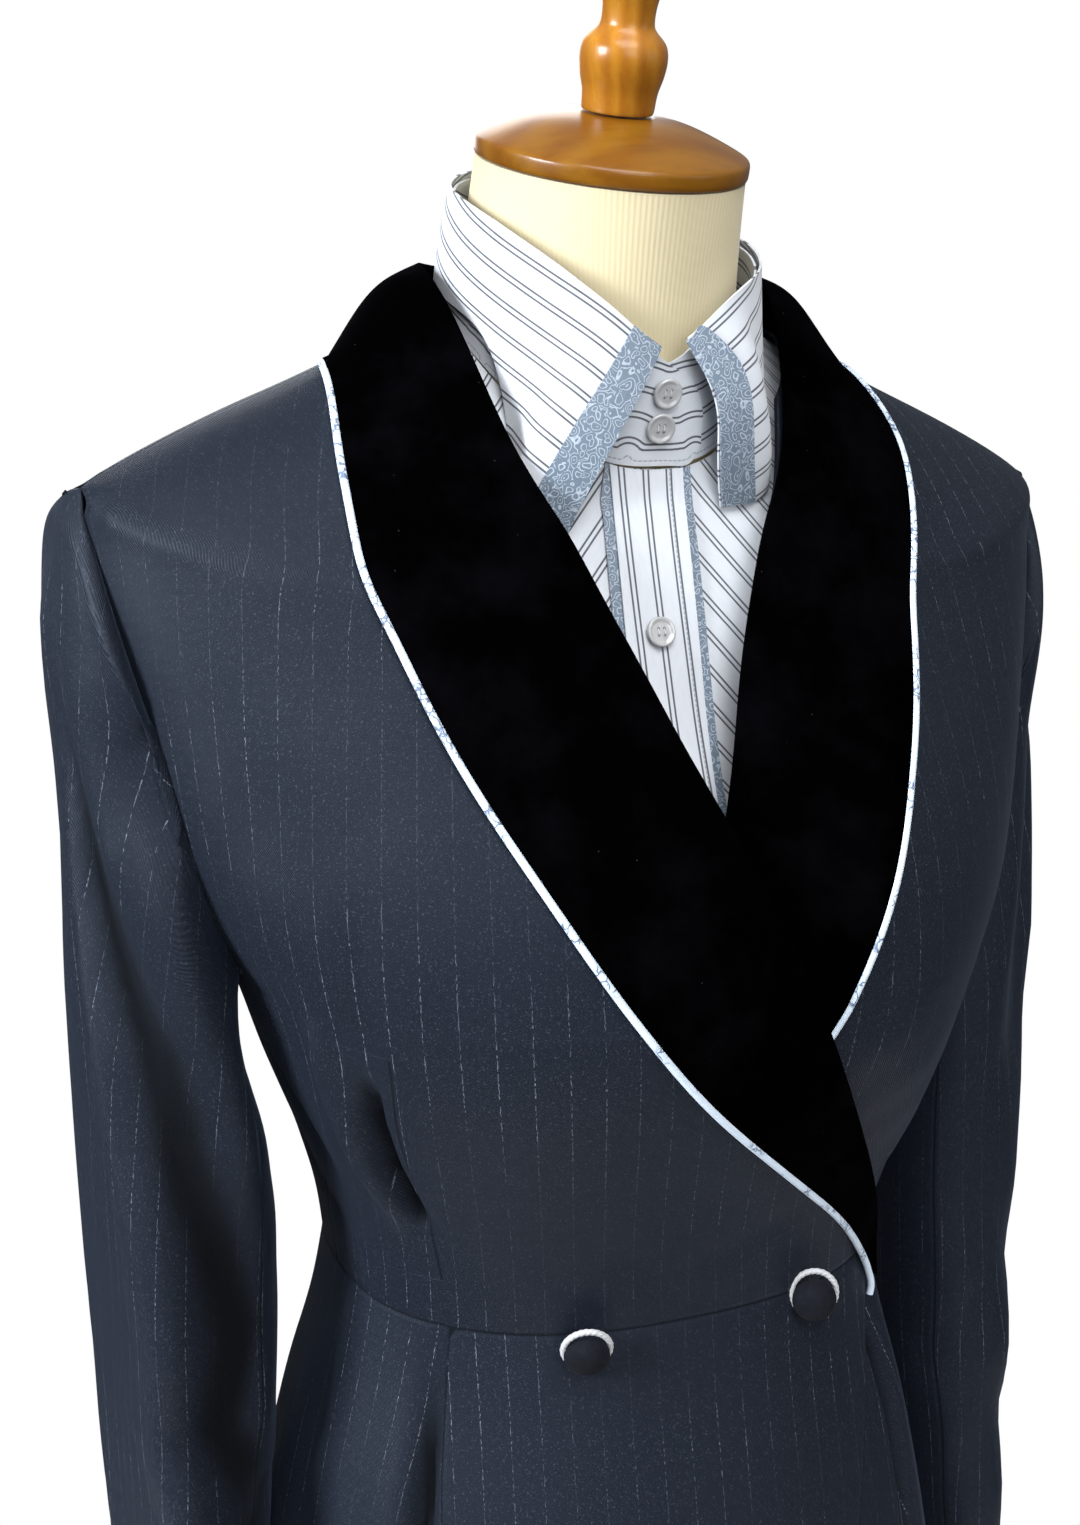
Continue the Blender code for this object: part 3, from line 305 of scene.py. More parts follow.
def outer_sheet(node_name, name, levels, fair=0, thin=0.0):
    """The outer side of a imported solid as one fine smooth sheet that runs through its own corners."""
    sheet = merged_copy(node_name, name)
    bpy.ops.mesh.mark_seam()
    bpy.ops.mesh.select_mode(type="FACE")
    bpy.ops.mesh.select_all(action="DESELECT")
    bpy.ops.object.mode_set(mode="OBJECT")
    mesh = sheet.data
    edge_of = {tuple(sorted(edge.vertices)): edge.use_seam for edge in mesh.edges}
    beside, narrow = {}, set()
    for polygon in mesh.polygons:
        corner = [mesh.vertices[v].co for v in polygon.vertices]
        if polygon.area < thin * max((a - b).length for a, b in zip(corner, corner[1:] + corner[:1])):
            narrow.add(polygon.index)
        for key in polygon.edge_keys:
            beside.setdefault(tuple(sorted(key)), []).append(polygon.index)
    if thin:
        edge_of = {key: any(face in narrow for face in faces) for key, faces in beside.items()}
    side_of, sides = {}, []
    for polygon in mesh.polygons:
        if polygon.index in side_of:
            continue
        waiting, area = [polygon.index], 0.0
        side_of[polygon.index] = len(sides)
        while waiting:
            here = mesh.polygons[waiting.pop()]
            area += here.area
            for key in here.edge_keys:
                key = tuple(sorted(key))
                if not edge_of[key]:
                    for other in beside[key]:
                        if other not in side_of:
                            side_of[other] = len(sides)
                            waiting.append(other)
        sides.append(area)
    outer = int(np.argmax(sides))
    for polygon in mesh.polygons:
        polygon.select = side_of[polygon.index] != outer
    for edge in mesh.edges:
        edge.use_seam = False
    bpy.ops.object.mode_set(mode="EDIT")
    bpy.ops.mesh.delete(type="FACE")
    bpy.ops.mesh.select_mode(type="VERT")
    bpy.ops.mesh.select_all(action="SELECT")
    bpy.ops.mesh.customdata_custom_splitnormals_clear()
    bpy.ops.object.mode_set(mode="OBJECT")
    ease_edges(sheet, fair)
    smooth_through(sheet, levels)
    return sheet


def rim_of(piece):
    """Each corner on a sheet's rim with its two neighbours along the rim."""
    count = {}
    for polygon in piece.data.polygons:
        for key in polygon.edge_keys:
            key = tuple(sorted(key))
            count[key] = count.get(key, 0) + 1
    beside = {}
    for (a, b), faces in count.items():
        if faces == 1:
            beside.setdefault(a, []).append(b)
            beside.setdefault(b, []).append(a)
    return {a: pair for a, pair in beside.items() if len(pair) == 2}


def ease_edges(piece, times):
    """Take small wobbles out of a sheet's rim, leaving its corners where they are."""
    rim = rim_of(piece) if times else {}
    place = points_of(piece)
    for _ in range(times):
        moved = place.copy()
        for a, (b, c) in rim.items():
            back_way, on_way = place[a] - place[b], place[c] - place[a]
            lie = back_way @ on_way / (np.linalg.norm(back_way) * np.linalg.norm(on_way) + 1e-12)
            if lie > 0.75:
                moved[a] = 0.5 * place[a] + 0.25 * (place[b] + place[c])
        place = moved
    place_points(piece, place)


def points_of(piece):
    """All corners of a mesh as one array."""
    place = np.empty(len(piece.data.vertices) * 3, np.float32)
    piece.data.vertices.foreach_get("co", place)
    return place.reshape(-1, 3).astype(float)


def place_points(piece, place):
    piece.data.vertices.foreach_set("co", place.astype(np.float32).ravel())
    piece.data.update()


def normals_of(piece):
    out = np.empty(len(piece.data.vertices) * 3, np.float32)
    piece.data.vertices.foreach_get("normal", out)
    return out.reshape(-1, 3).astype(float)


def keep(piece, name, values):
    """Store one number a corner, for the material to read."""
    made = piece.data.attributes.get(name) or piece.data.attributes.new(name, "FLOAT", "POINT")
    made.data.foreach_set("value", values.astype(np.float32))


def smooth_through(piece, levels):
    """Subdivide so that the smooth surface passes through the corners the piece has now."""
    aim = points_of(piece)
    cage = aim.copy()
    smoother = piece.modifiers.new("smooth", "SUBSURF")
    smoother.boundary_smooth = "PRESERVE_CORNERS"
    smoother.levels = smoother.render_levels = 1
    for _ in range(7):
        place_points(piece, cage)
        seen = piece.evaluated_get(bpy.context.evaluated_depsgraph_get())
        drawn = np.empty(len(seen.data.vertices) * 3, np.float32)
        seen.data.vertices.foreach_get("co", drawn)
        cage += (aim - drawn.reshape(-1, 3)[:len(aim)]) * 0.9
    place_points(piece, cage)
    smoother.levels = smoother.render_levels = levels
    apply_all(piece)


def cut_map(piece, grain=(0, 0, 1)):
    """Lay the sheet flat, in metres, its grain (or its length) up the map, and say how large the cut is."""
    only(piece)
    bpy.ops.object.mode_set(mode="EDIT")
    bpy.ops.mesh.select_all(action="SELECT")
    bpy.ops.uv.unwrap(method="ANGLE_BASED", margin=0.0)
    bpy.ops.object.mode_set(mode="OBJECT")
    mesh = piece.data
    flat = np.empty(len(mesh.loops) * 2, np.float32)
    mesh.uv_layers.active.data.foreach_get("uv", flat)
    flat = flat.reshape(-1, 2).astype(float)
    corner = np.empty(len(mesh.loops), np.int32)
    mesh.loops.foreach_get("vertex_index", corner)
    place = points_of(piece)[corner]
    size = sum(polygon.area for polygon in mesh.polygons)
    laid = 0.0
    for polygon in mesh.polygons:
        u, v = flat[list(polygon.loop_indices)].T
        laid += 0.5 * float(np.dot(u, np.roll(v, -1)) - np.dot(v, np.roll(u, -1)))
    flat *= (size / abs(laid)) ** 0.5
    if laid < 0:
        flat[:, 0] *= -1
    flat -= flat.mean(0)
    if grain is None:
        lie = np.linalg.svd(flat[::7], full_matrices=False)[2][0]
    else:
        lie = np.linalg.lstsq(np.column_stack([flat, np.ones(len(flat))]), place @ np.array(grain, float),
                              rcond=None)[0][:2]
    lie /= np.linalg.norm(lie)
    flat = flat @ np.array([[lie[1], lie[0]], [-lie[0], lie[1]]])
    flat -= flat.mean(0)
    mesh.uv_layers.active.name = "cut"
    mesh.uv_layers.active.data.foreach_set("uv", flat.astype(np.float32).ravel())
    width, length = flat.max(0) - flat.min(0)
    return float(width), float(length), float(size)


def surface_of(piece):
    """A piece's faces, to look up the nearest place on them."""
    return BVHTree.FromPolygons([v.co for v in piece.data.vertices], [p.vertices for p in piece.data.polygons])


def lay_over(upper, lower, gap):
    """Lift a sheet wherever it comes closer than gap to the sheet under it."""
    bed = surface_of(lower)
    place = points_of(upper)
    for k, point in enumerate(place):
        found, facing, _, away_by = bed.find_nearest(Vector(point), 0.02)
        if found is None:
            continue
        rise = (Vector(point) - found).dot(facing)
        if rise < gap and away_by ** 2 - rise ** 2 < 0.002 ** 2:
            place[k] += np.array(facing) * (gap - rise)
    place_points(upper, place)


def wall(piece, thickness):
    """Give a sheet its thickness, inwards from the side that shows."""
    thick = piece.modifiers.new("wall", "SOLIDIFY")
    thick.thickness = thickness
    thick.offset = -1.0
    apply_all(piece)
    bpy.ops.object.shade_smooth_by_angle(angle=radians(60))
    return piece


jersey, tree, shader = new_material("form_jersey", (0.78, 0.70, 0.52), 0.85)
place = own_place(tree)
parts = node(tree, "ShaderNodeSeparateXYZ", {0: place})
turn = maths(tree, "ARCTAN2", parts.outputs[0], maths(tree, "MULTIPLY", parts.outputs[1], -1.0))
rib = maths(tree, "SINE", maths(tree, "MULTIPLY", turn, 210.0))
fuzz = node(tree, "ShaderNodeTexNoise", {"Vector": place, "Scale": 900.0, "Detail": 3.0})
patch = node(tree, "ShaderNodeTexNoise", {"Vector": place, "Scale": 9.0, "Detail": 2.0})
height = maths(tree, "MULTIPLY_ADD", rib, 0.5, maths(tree, "MULTIPLY", fuzz.outputs["Fac"], 0.5))
tone = blend_colours(tree, maths(tree, "MULTIPLY_ADD", rib, 0.09, 0.5),
                     (0.52, 0.450, 0.285), (0.65, 0.580, 0.390))
tone = blend_colours(tree, maths(tree, "MULTIPLY", patch.outputs["Fac"], 0.35), tone, (0.58, 0.485, 0.290))
tree.links.new(tone, shader.inputs["Base Color"])
shader.inputs["Sheen Weight"].default_value = 0.15
bumped(tree, shader, height, 0.22, 0.0004)

form = merged_copy("form_torso", "dress_form")
bpy.ops.transform.edge_crease(value=1.0)
bpy.ops.mesh.select_all(action="SELECT")
bpy.ops.mesh.customdata_custom_splitnormals_clear()
bpy.ops.object.mode_set(mode="OBJECT")
smooth_through(form, 3)
bpy.ops.object.shade_smooth_by_angle(angle=radians(45))
finish_with(form, jersey, "jersey_cream", "form_torso")


# ---- neck cap and finial: two turned pieces of the same wood on top of the leaning neck, the cap a
# low dome whose dark rim is not drawn apart, the finial drawn in to a waist between two swellings
LEAN_OF_NECK = 0.285
neck_axis = Vector((0, -sin(LEAN_OF_NECK), cos(LEAN_OF_NECK)))
neck_top = Vector((0, -0.0252, 1.3005))
cap_wood = wood_finish("cap_wood", (LEAN_OF_NECK, 0.25, 0.9), (6.0, 28.0, 28.0), 0.50)
cap_foot = neck_top + neck_axis * -0.0032
cap = turned("neck_cap_turned",
             [(0.0520, 0.0), (0.0532, 0.0), (0.0542, 0.0006), (0.0545, 0.0020), (0.0545, 0.0060),
              (0.0541, 0.0071), (0.0528, 0.0080), (0.0500, 0.0093), (0.0440, 0.0119), (0.0380, 0.0142),
              (0.0320, 0.0163), (0.0240, 0.0181), (0.0160, 0.0192), (0.0140, 0.0194)],
             cap_foot, neck_axis, sides=64)
finish_with(cap, cap_wood, "wood_varnished", "neck_cap")
finial_wood = wood_finish("finial_wood", (LEAN_OF_NECK, 0, 0.4), (46.0, 46.0, 8.0), 0.95)
finial = turned("finial_turned",
                [(0.0136, 0.0), (0.0142, 0.0004), (0.0146, 0.0020), (0.0147, 0.0060), (0.0152, 0.0095),
                 (0.0164, 0.0130), (0.0172, 0.0175), (0.0174, 0.0205), (0.0170, 0.0240), (0.0158, 0.0268),
                 (0.0130, 0.0292), (0.0110, 0.0312), (0.0104, 0.0330), (0.0104, 0.0375), (0.0109, 0.0410),
                 (0.0118, 0.0450), (0.0136, 0.0555), (0.0142, 0.0650), (0.0138, 0.0705), (0.0124, 0.0750),
                 (0.0098, 0.0792), (0.0066, 0.0820), (0.0040, 0.0831), (0.0020, 0.0835)],
                cap_foot + neck_axis * 0.0198, neck_axis, sides=40)
finish_with(finial, finial_wood, "wood_varnished", "finial")


# ---- shirt back: one plain piece of the striped shirting, cut sleeveless because the jacket's
# sleeves hang empty; it lies on the form and shows only at the neck and the hem
def new_group(name, given, results):
    """An empty node group with its named number inputs, at their defaults, and its outputs."""
    group = bpy.data.node_groups.new(name, "ShaderNodeTree")
    for socket, default in given:
        made = group.interface.new_socket(socket, in_out="INPUT", socket_type="NodeSocketFloat")
        made.default_value = default
    for socket in results:
        group.interface.new_socket(socket, in_out="OUTPUT", socket_type="NodeSocketFloat")
    return group, group.nodes.new("NodeGroupInput").outputs, group.nodes.new("NodeGroupOutput").inputs


def weave_group():
    """A woven or twilled surface from a flat cut: thread height and a thread shade, both 0 to 1."""
    group, given, result = new_group(
        "weave", (("Across", 0.0), ("Along", 0.0), ("Thread", 0.0005), ("Twill", 0.0)), ("Height", "Shade"))
    turns = maths(group, "DIVIDE", 2 * pi, given["Thread"])
    warp = maths(group, "SINE", maths(group, "MULTIPLY", given["Across"], turns))
    weft = maths(group, "SINE", maths(group, "MULTIPLY", given["Along"], turns))
    plain = maths(group, "MULTIPLY", warp, weft)
    slant = maths(group, "ADD", given["Across"], maths(group, "MULTIPLY", given["Along"], 0.8))
    rib = maths(group, "SINE", maths(group, "MULTIPLY", slant, turns))
    both = maths(group, "ADD", maths(group, "MULTIPLY", rib, given["Twill"]),
                 maths(group, "MULTIPLY", plain, maths(group, "SUBTRACT", 1.0, given["Twill"])))
    height = maths(group, "MULTIPLY_ADD", both, 0.5, 0.5)
    spot = node(group, "ShaderNodeCombineXYZ",
                {0: given["Across"], 1: maths(group, "MULTIPLY", given["Along"], 0.25)})
    slub = node(group, "ShaderNodeTexNoise", {"Vector": spot.outputs[0], "Scale": 700.0, "Detail": 2.0})
    group.links.new(height, result["Height"])
    raised = maths(group, "MULTIPLY", height, 0.4)
    group.links.new(maths(group, "MULTIPLY_ADD", slub.outputs["Fac"], 0.6, raised), result["Shade"])
    return group


LINE_CRISP = 9000.0       # how sharply a line's edge turns, per metre


def line_group():
    """Lines along a cut: 1 on a line, 0 between, from the line's pitch, place and width."""
    group, given, result = new_group(
        "line", (("Across", 0.0), ("Pitch", 0.01), ("Place", 0.0), ("Width", 0.0004)), ("Line",))
    shifted = maths(group, "SUBTRACT", given["Across"], given["Place"])
    off = maths(group, "PINGPONG", shifted, maths(group, "MULTIPLY", given["Pitch"], 0.5))
    edge = maths(group, "SUBTRACT", maths(group, "MULTIPLY", given["Width"], 0.5), off)
    sharpened = maths(group, "MULTIPLY_ADD", edge, LINE_CRISP, 0.5)
    drawn = node(group, "ShaderNodeMath", {0: sharpened, 1: 1.0, 2: 0.0},
                 operation="MULTIPLY_ADD", use_clamp=True)
    group.links.new(drawn.outputs[0], result["Line"])
    return group


WEAVE, LINE = weave_group(), line_group()


def weave(tree, across, along, thread, twill):
    made = node(tree, "ShaderNodeGroup", node_tree=WEAVE)
    for key, value in (("Across", across), ("Along", along)):
        tree.links.new(value, made.inputs[key])
    made.inputs["Thread"].default_value = thread
    made.inputs["Twill"].default_value = twill
    return made.outputs["Height"], made.outputs["Shade"]


def line(tree, across, pitch, place, width):
    made = node(tree, "ShaderNodeGroup", node_tree=LINE)
    tree.links.new(across, made.inputs["Across"])
    for key, value in (("Pitch", pitch), ("Place", place), ("Width", width)):
        made.inputs[key].default_value = value
    return made.outputs["Line"]


def cut_places(tree, bias=0.0):
    """Across and along a piece's own flat cut, turned by the bias it was cut on."""
    cut = node(tree, "ShaderNodeUVMap", uv_map="cut")
    turned_cut = node(tree, "ShaderNodeMapping", {"Vector": cut.outputs[0], "Rotation": (0, 0, bias)})
    parts = node(tree, "ShaderNodeSeparateXYZ", {0: turned_cut.outputs[0]})
    return parts.outputs[0], parts.outputs[1]


def looked_up(place, kept):
    """Some of the points of a list, to find the nearest of them and its number."""
    tree = KDTree(len(kept))
    for a in kept:
        tree.insert(place[a], int(a))
    tree.balance()
    return tree


def gap_to(place, marks):
    """How far each point is from the nearest of some marks."""
    tree = looked_up(marks, range(len(marks)))
    return np.array([tree.find(Vector(point))[2] for point in place])


STRIPE_PITCH, STRIPE_APART, STRIPE_WIDE = 0.0098, 0.0021, 0.00080


def shirting(name, bias=0.0, shift=0.0, band=None, stitched=None):
    """White poplin, slightly blue, with pairs of fine dark stripes; in a band the stripes run along
    it, and a row of topstitching lies that far from its edge."""
    made, tree, shader = new_material(name, (0.76, 0.80, 0.88), 0.75)
    across, along = cut_places(tree, bias)
    if band:
        across = node(tree, "ShaderNodeAttribute", attribute_name=band).outputs["Fac"]
    height, shade = weave(tree, across, along, 0.00055, 0.0)
    cloth = blend_colours(tree, shade, (0.50, 0.53, 0.585), (0.62, 0.65, 0.70))
    marks = maths(tree, "MAXIMUM", line(tree, across, STRIPE_PITCH, shift, STRIPE_WIDE),
                  line(tree, across, STRIPE_PITCH, shift + STRIPE_APART, STRIPE_WIDE))
    worn = maths(tree, "MULTIPLY", marks, maths(tree, "MULTIPLY_ADD", shade, 0.3, 0.75))
    colour = blend_colours(tree, worn, cloth, (0.030, 0.034, 0.050))
    if stitched:
        row = line(tree, across, 1.0, stitched, 0.00050)
        gaps = line(tree, along, 0.0020, 0.0, 0.0013)
        sewn = maths(tree, "MULTIPLY", row, gaps)
        colour = blend_colours(tree, maths(tree, "MULTIPLY", row, 0.30), colour, (0.34, 0.37, 0.44))
        colour = blend_colours(tree, maths(tree, "MULTIPLY", sewn, 0.7), colour, (0.20, 0.23, 0.30))
        height = maths(tree, "SUBTRACT", height, maths(tree, "MULTIPLY", row, 1.4))
    tree.links.new(colour, shader.inputs["Base Color"])
    shader.inputs["Sheen Weight"].default_value = 0.1
    bumped(tree, shader, height, 0.25, 0.0002)
    return made


SHIRTING = 0.0010
stripes_down = shirting("shirting_down")
back = outer_sheet("shirt_back", "shirt_back_cloth", 3)
back_cut = cut_map(back)
wall(back, SHIRTING)
finish_with(back, stripes_down, "shirting_striped", "shirt_back")


# ---- shirt fronts: two shaped pieces under the placket, their stripes cut on the bias so that they
# run down towards the opening
for side, bias in (("right", radians(37)), ("left", radians(-37))):
    front = outer_sheet("shirt_front_" + side, f"shirt_front_{side}_cloth", 3)
    front_cut = cut_map(front)
    wall(front, SHIRTING)
    finish_with(front, shirting("shirting_bias_" + side, bias), "shirting_striped", "shirt_front_" + side)


# ---- placket: a straight band down the middle of the shirt, lapped over both fronts, topstitched
# along one edge, with a folded strip of blue-grey jacquard down each side
def warped_by(tree, place, scale, reach):
    """A place pushed about by soft noise, so that what is drawn there curls."""
    swirl = node(tree, "ShaderNodeTexNoise", {"Vector": place, "Scale": scale, "Detail": 1.0})
    pushed = node(tree, "ShaderNodeVectorMath", {0: swirl.outputs["Color"]}, operation="SCALE")
    pushed.inputs["Scale"].default_value = reach
    return node(tree, "ShaderNodeVectorMath", {0: place, 1: pushed.outputs[0]}, operation="ADD").outputs[0]


def jacquard(name, scale, ground=(0.135, 0.180, 0.240), thread=(0.44, 0.51, 0.60)):
    """Satin ground with curling pale threads floated over it."""
    made, tree, shader = new_material(name, ground, 0.42)
    across, along = cut_places(tree)
    spot = node(tree, "ShaderNodeCombineXYZ", {0: across, 1: along})
    warped = warped_by(tree, spot.outputs[0], scale * 0.55, 1.6 / scale)
    cells = node(tree, "ShaderNodeTexVoronoi", {"Vector": warped, "Scale": scale}, feature="F1")
    rings = maths(tree, "SINE", maths(tree, "MULTIPLY", cells.outputs["Distance"], 21.0))
    curl = node(tree, "ShaderNodeMapRange", {0: rings, 1: 0.50, 2: 0.85})
    height, shade = weave(tree, across, along, 0.0006, 0.6)
    floats = maths(tree, "MULTIPLY", curl.outputs[0], maths(tree, "MULTIPLY_ADD", shade, 0.7, 0.45))
    base_tone = blend_colours(tree, shade, [c * 0.72 for c in ground], [c * 1.25 for c in ground])
    tree.links.new(blend_colours(tree, floats, base_tone, thread), shader.inputs["Base Color"])
    shader.inputs["Sheen Weight"].default_value = 0.2
    bumped(tree, shader, maths(tree, "MULTIPLY_ADD", height, 0.4, curl.outputs[0]), 0.5, 0.0002)
    return made


trim_cloth = jacquard("trim_jacquard", 270.0)
placket = outer_sheet("placket", "placket_cloth", 2)
placket_cut = cut_map(placket)
wall(placket, SHIRTING * 0.8)
half_band = placket_cut[0] / 2
finish_with(placket, shirting("shirting_placket", 0.0, 0.0009, stitched=half_band - 0.0052), "shirting_striped",
            "placket")
for side in ("right", "left"):
    strip = outer_sheet("placket_trim_" + side, f"placket_trim_{side}_cloth", 2)
    cut_map(strip)
    wall(strip, 0.0005)
    finish_with(strip, trim_cloth, "jacquard_blue_grey", "placket_trim_" + side)


# ---- collar stand: a stiffened band round the neck, its stripes running round it, its right end
# rounded where it buttons over the left
stand = outer_sheet("collar_stand", "collar_stand_cloth", 3)
stand_cut = cut_map(stand, grain=None)
place = points_of(stand)
lean_up = np.array((0, -sin(LEAN_OF_NECK), cos(LEAN_OF_NECK)))
off = place - place.mean(0)
risen, turn = off @ lean_up, np.arctan2(off[:, 0], -off[:, 1])
sector = np.floor((turn + pi) / (2 * pi) * 48).astype(int) % 48
lowest = np.array([risen[sector == k].min() if (sector == k).any() else 0 for k in range(48)])
low_edge = [a for a in rim_of(stand) if risen[a] < lowest[sector[a]] + 0.0025]
keep(stand, "band", gap_to(place, place[low_edge]))
wall(stand, SHIRTING)
finish_with(stand, shirting("shirting_stand", 0.0, 0.0062, band="band", stitched=0.0020), "shirting_striped",
            "collar_stand")


# ---- collar leaves: long soft points folded down over the stand, their stripes running along them
# from the neck to the point, the front edges bound with the blue-grey jacquard
for side in ("right", "left"):
    leaf = outer_sheet("collar_leaf_" + side, f"collar_leaf_{side}_cloth", 3)
    leaf_cut = cut_map(leaf, grain=None)
    wall(leaf, SHIRTING)
    finish_with(leaf, stripes_down, "shirting_striped", "collar_leaf_" + side)
    binding = outer_sheet("collar_trim_" + side, f"collar_trim_{side}_cloth", 3)
    cut_map(binding, grain=None)
    wall(binding, 0.0007)
    finish_with(binding, trim_cloth, "jacquard_blue_grey", "collar_trim_" + side)


# ---- shirt buttons: clear resin, dished, with a raised rim and four holes, two on the collar stand
# and one on the placket, each sewn on with two bars of thread
clear, tree, shader = new_material("button_resin", (0.70, 0.71, 0.72), 0.12)
place = own_place(tree)
cloud = node(tree, "ShaderNodeTexNoise", {"Vector": place, "Scale": 240.0, "Detail": 3.0})
tree.links.new(blend_colours(tree, cloud.outputs["Fac"], (0.40, 0.415, 0.43), (0.68, 0.69, 0.70)),
               shader.inputs["Base Color"])
shader.inputs["Coat Weight"].default_value = 1.0
shader.inputs["Transmission Weight"].default_value = 0.25
button_thread, tree, shader = new_material("button_thread", (0.62, 0.64, 0.68), 0.8)
place = own_place(tree)
twist = node(tree, "ShaderNodeTexNoise", {"Vector": place, "Scale": 3000.0, "Detail": 1.0})
tree.links.new(blend_colours(tree, twist.outputs["Fac"], (0.40, 0.42, 0.46), (0.78, 0.80, 0.84)),
               shader.inputs["Base Color"])


def face_of(node_name):
    """Middle of a small round solid's foot, and the way it faces, from its own corners."""
    place = np.array([v.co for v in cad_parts[node_name].data.vertices], float)
    middle = (place.max(0) + place.min(0)) / 2
    spread = place - place.mean(0)
    facing = Vector(np.linalg.svd(spread, full_matrices=False)[2][2])
    if facing.dot(Vector((middle[0], middle[1], 0))) < 0:
        facing.negate()
    reach = spread @ np.array(facing)
    return Vector(place.mean(0)) + facing * float(reach.min()), facing, float(reach.max() - reach.min())


def joined(pieces):
    """Several small pieces as one mesh."""
    only(pieces[0])
    for piece in pieces:
        piece.select_set(True)
    bpy.ops.object.join()
    return bpy.context.object


SHIRT_BUTTON = 0.0060
HOLE_OFF, HOLE_RADIUS = 0.00125, 0.00062
THREAD_RADIUS, BAR_LENGTH = 0.00028, 0.0029
for label in ("collar_button_upper", "collar_button_lower", "placket_button"):
    foot, facing, depth = face_of(label)
    button = turned(label + "_resin",
                    [(SHIRT_BUTTON * 0.80, 0.0), (SHIRT_BUTTON * 0.90, 0.0002), (SHIRT_BUTTON * 0.985, 0.0009),
                     (SHIRT_BUTTON, 0.0014), (SHIRT_BUTTON * 0.985, 0.0019), (SHIRT_BUTTON * 0.92, 0.0023),
                     (SHIRT_BUTTON * 0.80, 0.0022), (SHIRT_BUTTON * 0.70, 0.0018),
                     (SHIRT_BUTTON * 0.60, 0.0016), (SHIRT_BUTTON * 0.50, 0.0016)],
                    (0, 0, 0), (0, 0, 1), sides=32, rounding=1)
    holes = []
    for across_sign in (-1, 1):
        for along_sign in (-1, 1):
            bpy.ops.mesh.primitive_cylinder_add(vertices=12, radius=HOLE_RADIUS, depth=0.004,
                                                location=(across_sign * HOLE_OFF, along_sign * HOLE_OFF, 0.001))
            holes.append(bpy.context.object)
    drill = joined(holes)
    cutting = button.modifiers.new("holes", "BOOLEAN")
    cutting.object = drill
    cutting.operation = "DIFFERENCE"
    cutting.solver = "EXACT"
    apply_all(button)
    bpy.data.objects.remove(drill)
    bpy.ops.object.shade_smooth_by_angle(angle=radians(40))
    bars = []
    for across_sign in (-1, 1):
        bpy.ops.mesh.primitive_cylinder_add(vertices=8, radius=THREAD_RADIUS, depth=BAR_LENGTH,
                                            location=(across_sign * HOLE_OFF, 0, 0.0014),
                                            rotation=(pi / 2, 0, 0))
        bar = bpy.context.object
        bpy.ops.object.transform_apply()
        bpy.ops.object.mode_set(mode="EDIT")
        bpy.ops.mesh.select_all(action="SELECT")
        bpy.ops.mesh.subdivide(number_cuts=3)
        bpy.ops.object.mode_set(mode="OBJECT")
        place = points_of(bar)
        place[:, 2] += 0.0005 * (1 - (place[:, 1] / (BAR_LENGTH / 2)) ** 2) - 0.0001
        place_points(bar, place)
        bars.append(bar)
    thread = joined(bars)
    thread.name = label + "_thread"
    bpy.ops.object.shade_smooth_by_angle(angle=radians(60))
    turn = Matrix.Translation(foot) @ facing.to_track_quat("Z", "Y").to_matrix().to_4x4()
    for piece in (button, thread):
        piece.data.transform(turn)
    finish_with(button, clear, "button_clear", label)
    finish_with(thread, button_thread, "button_clear")


# ---- jacket body: two backs and two fronts of fine charcoal twill with silver pinstripes, joined at
# the centre back, the side backs and the shoulders, the fronts wrapped right over left
TWILL = 0.00095
PINSTRIPE, DOT = 0.0122, 0.0010


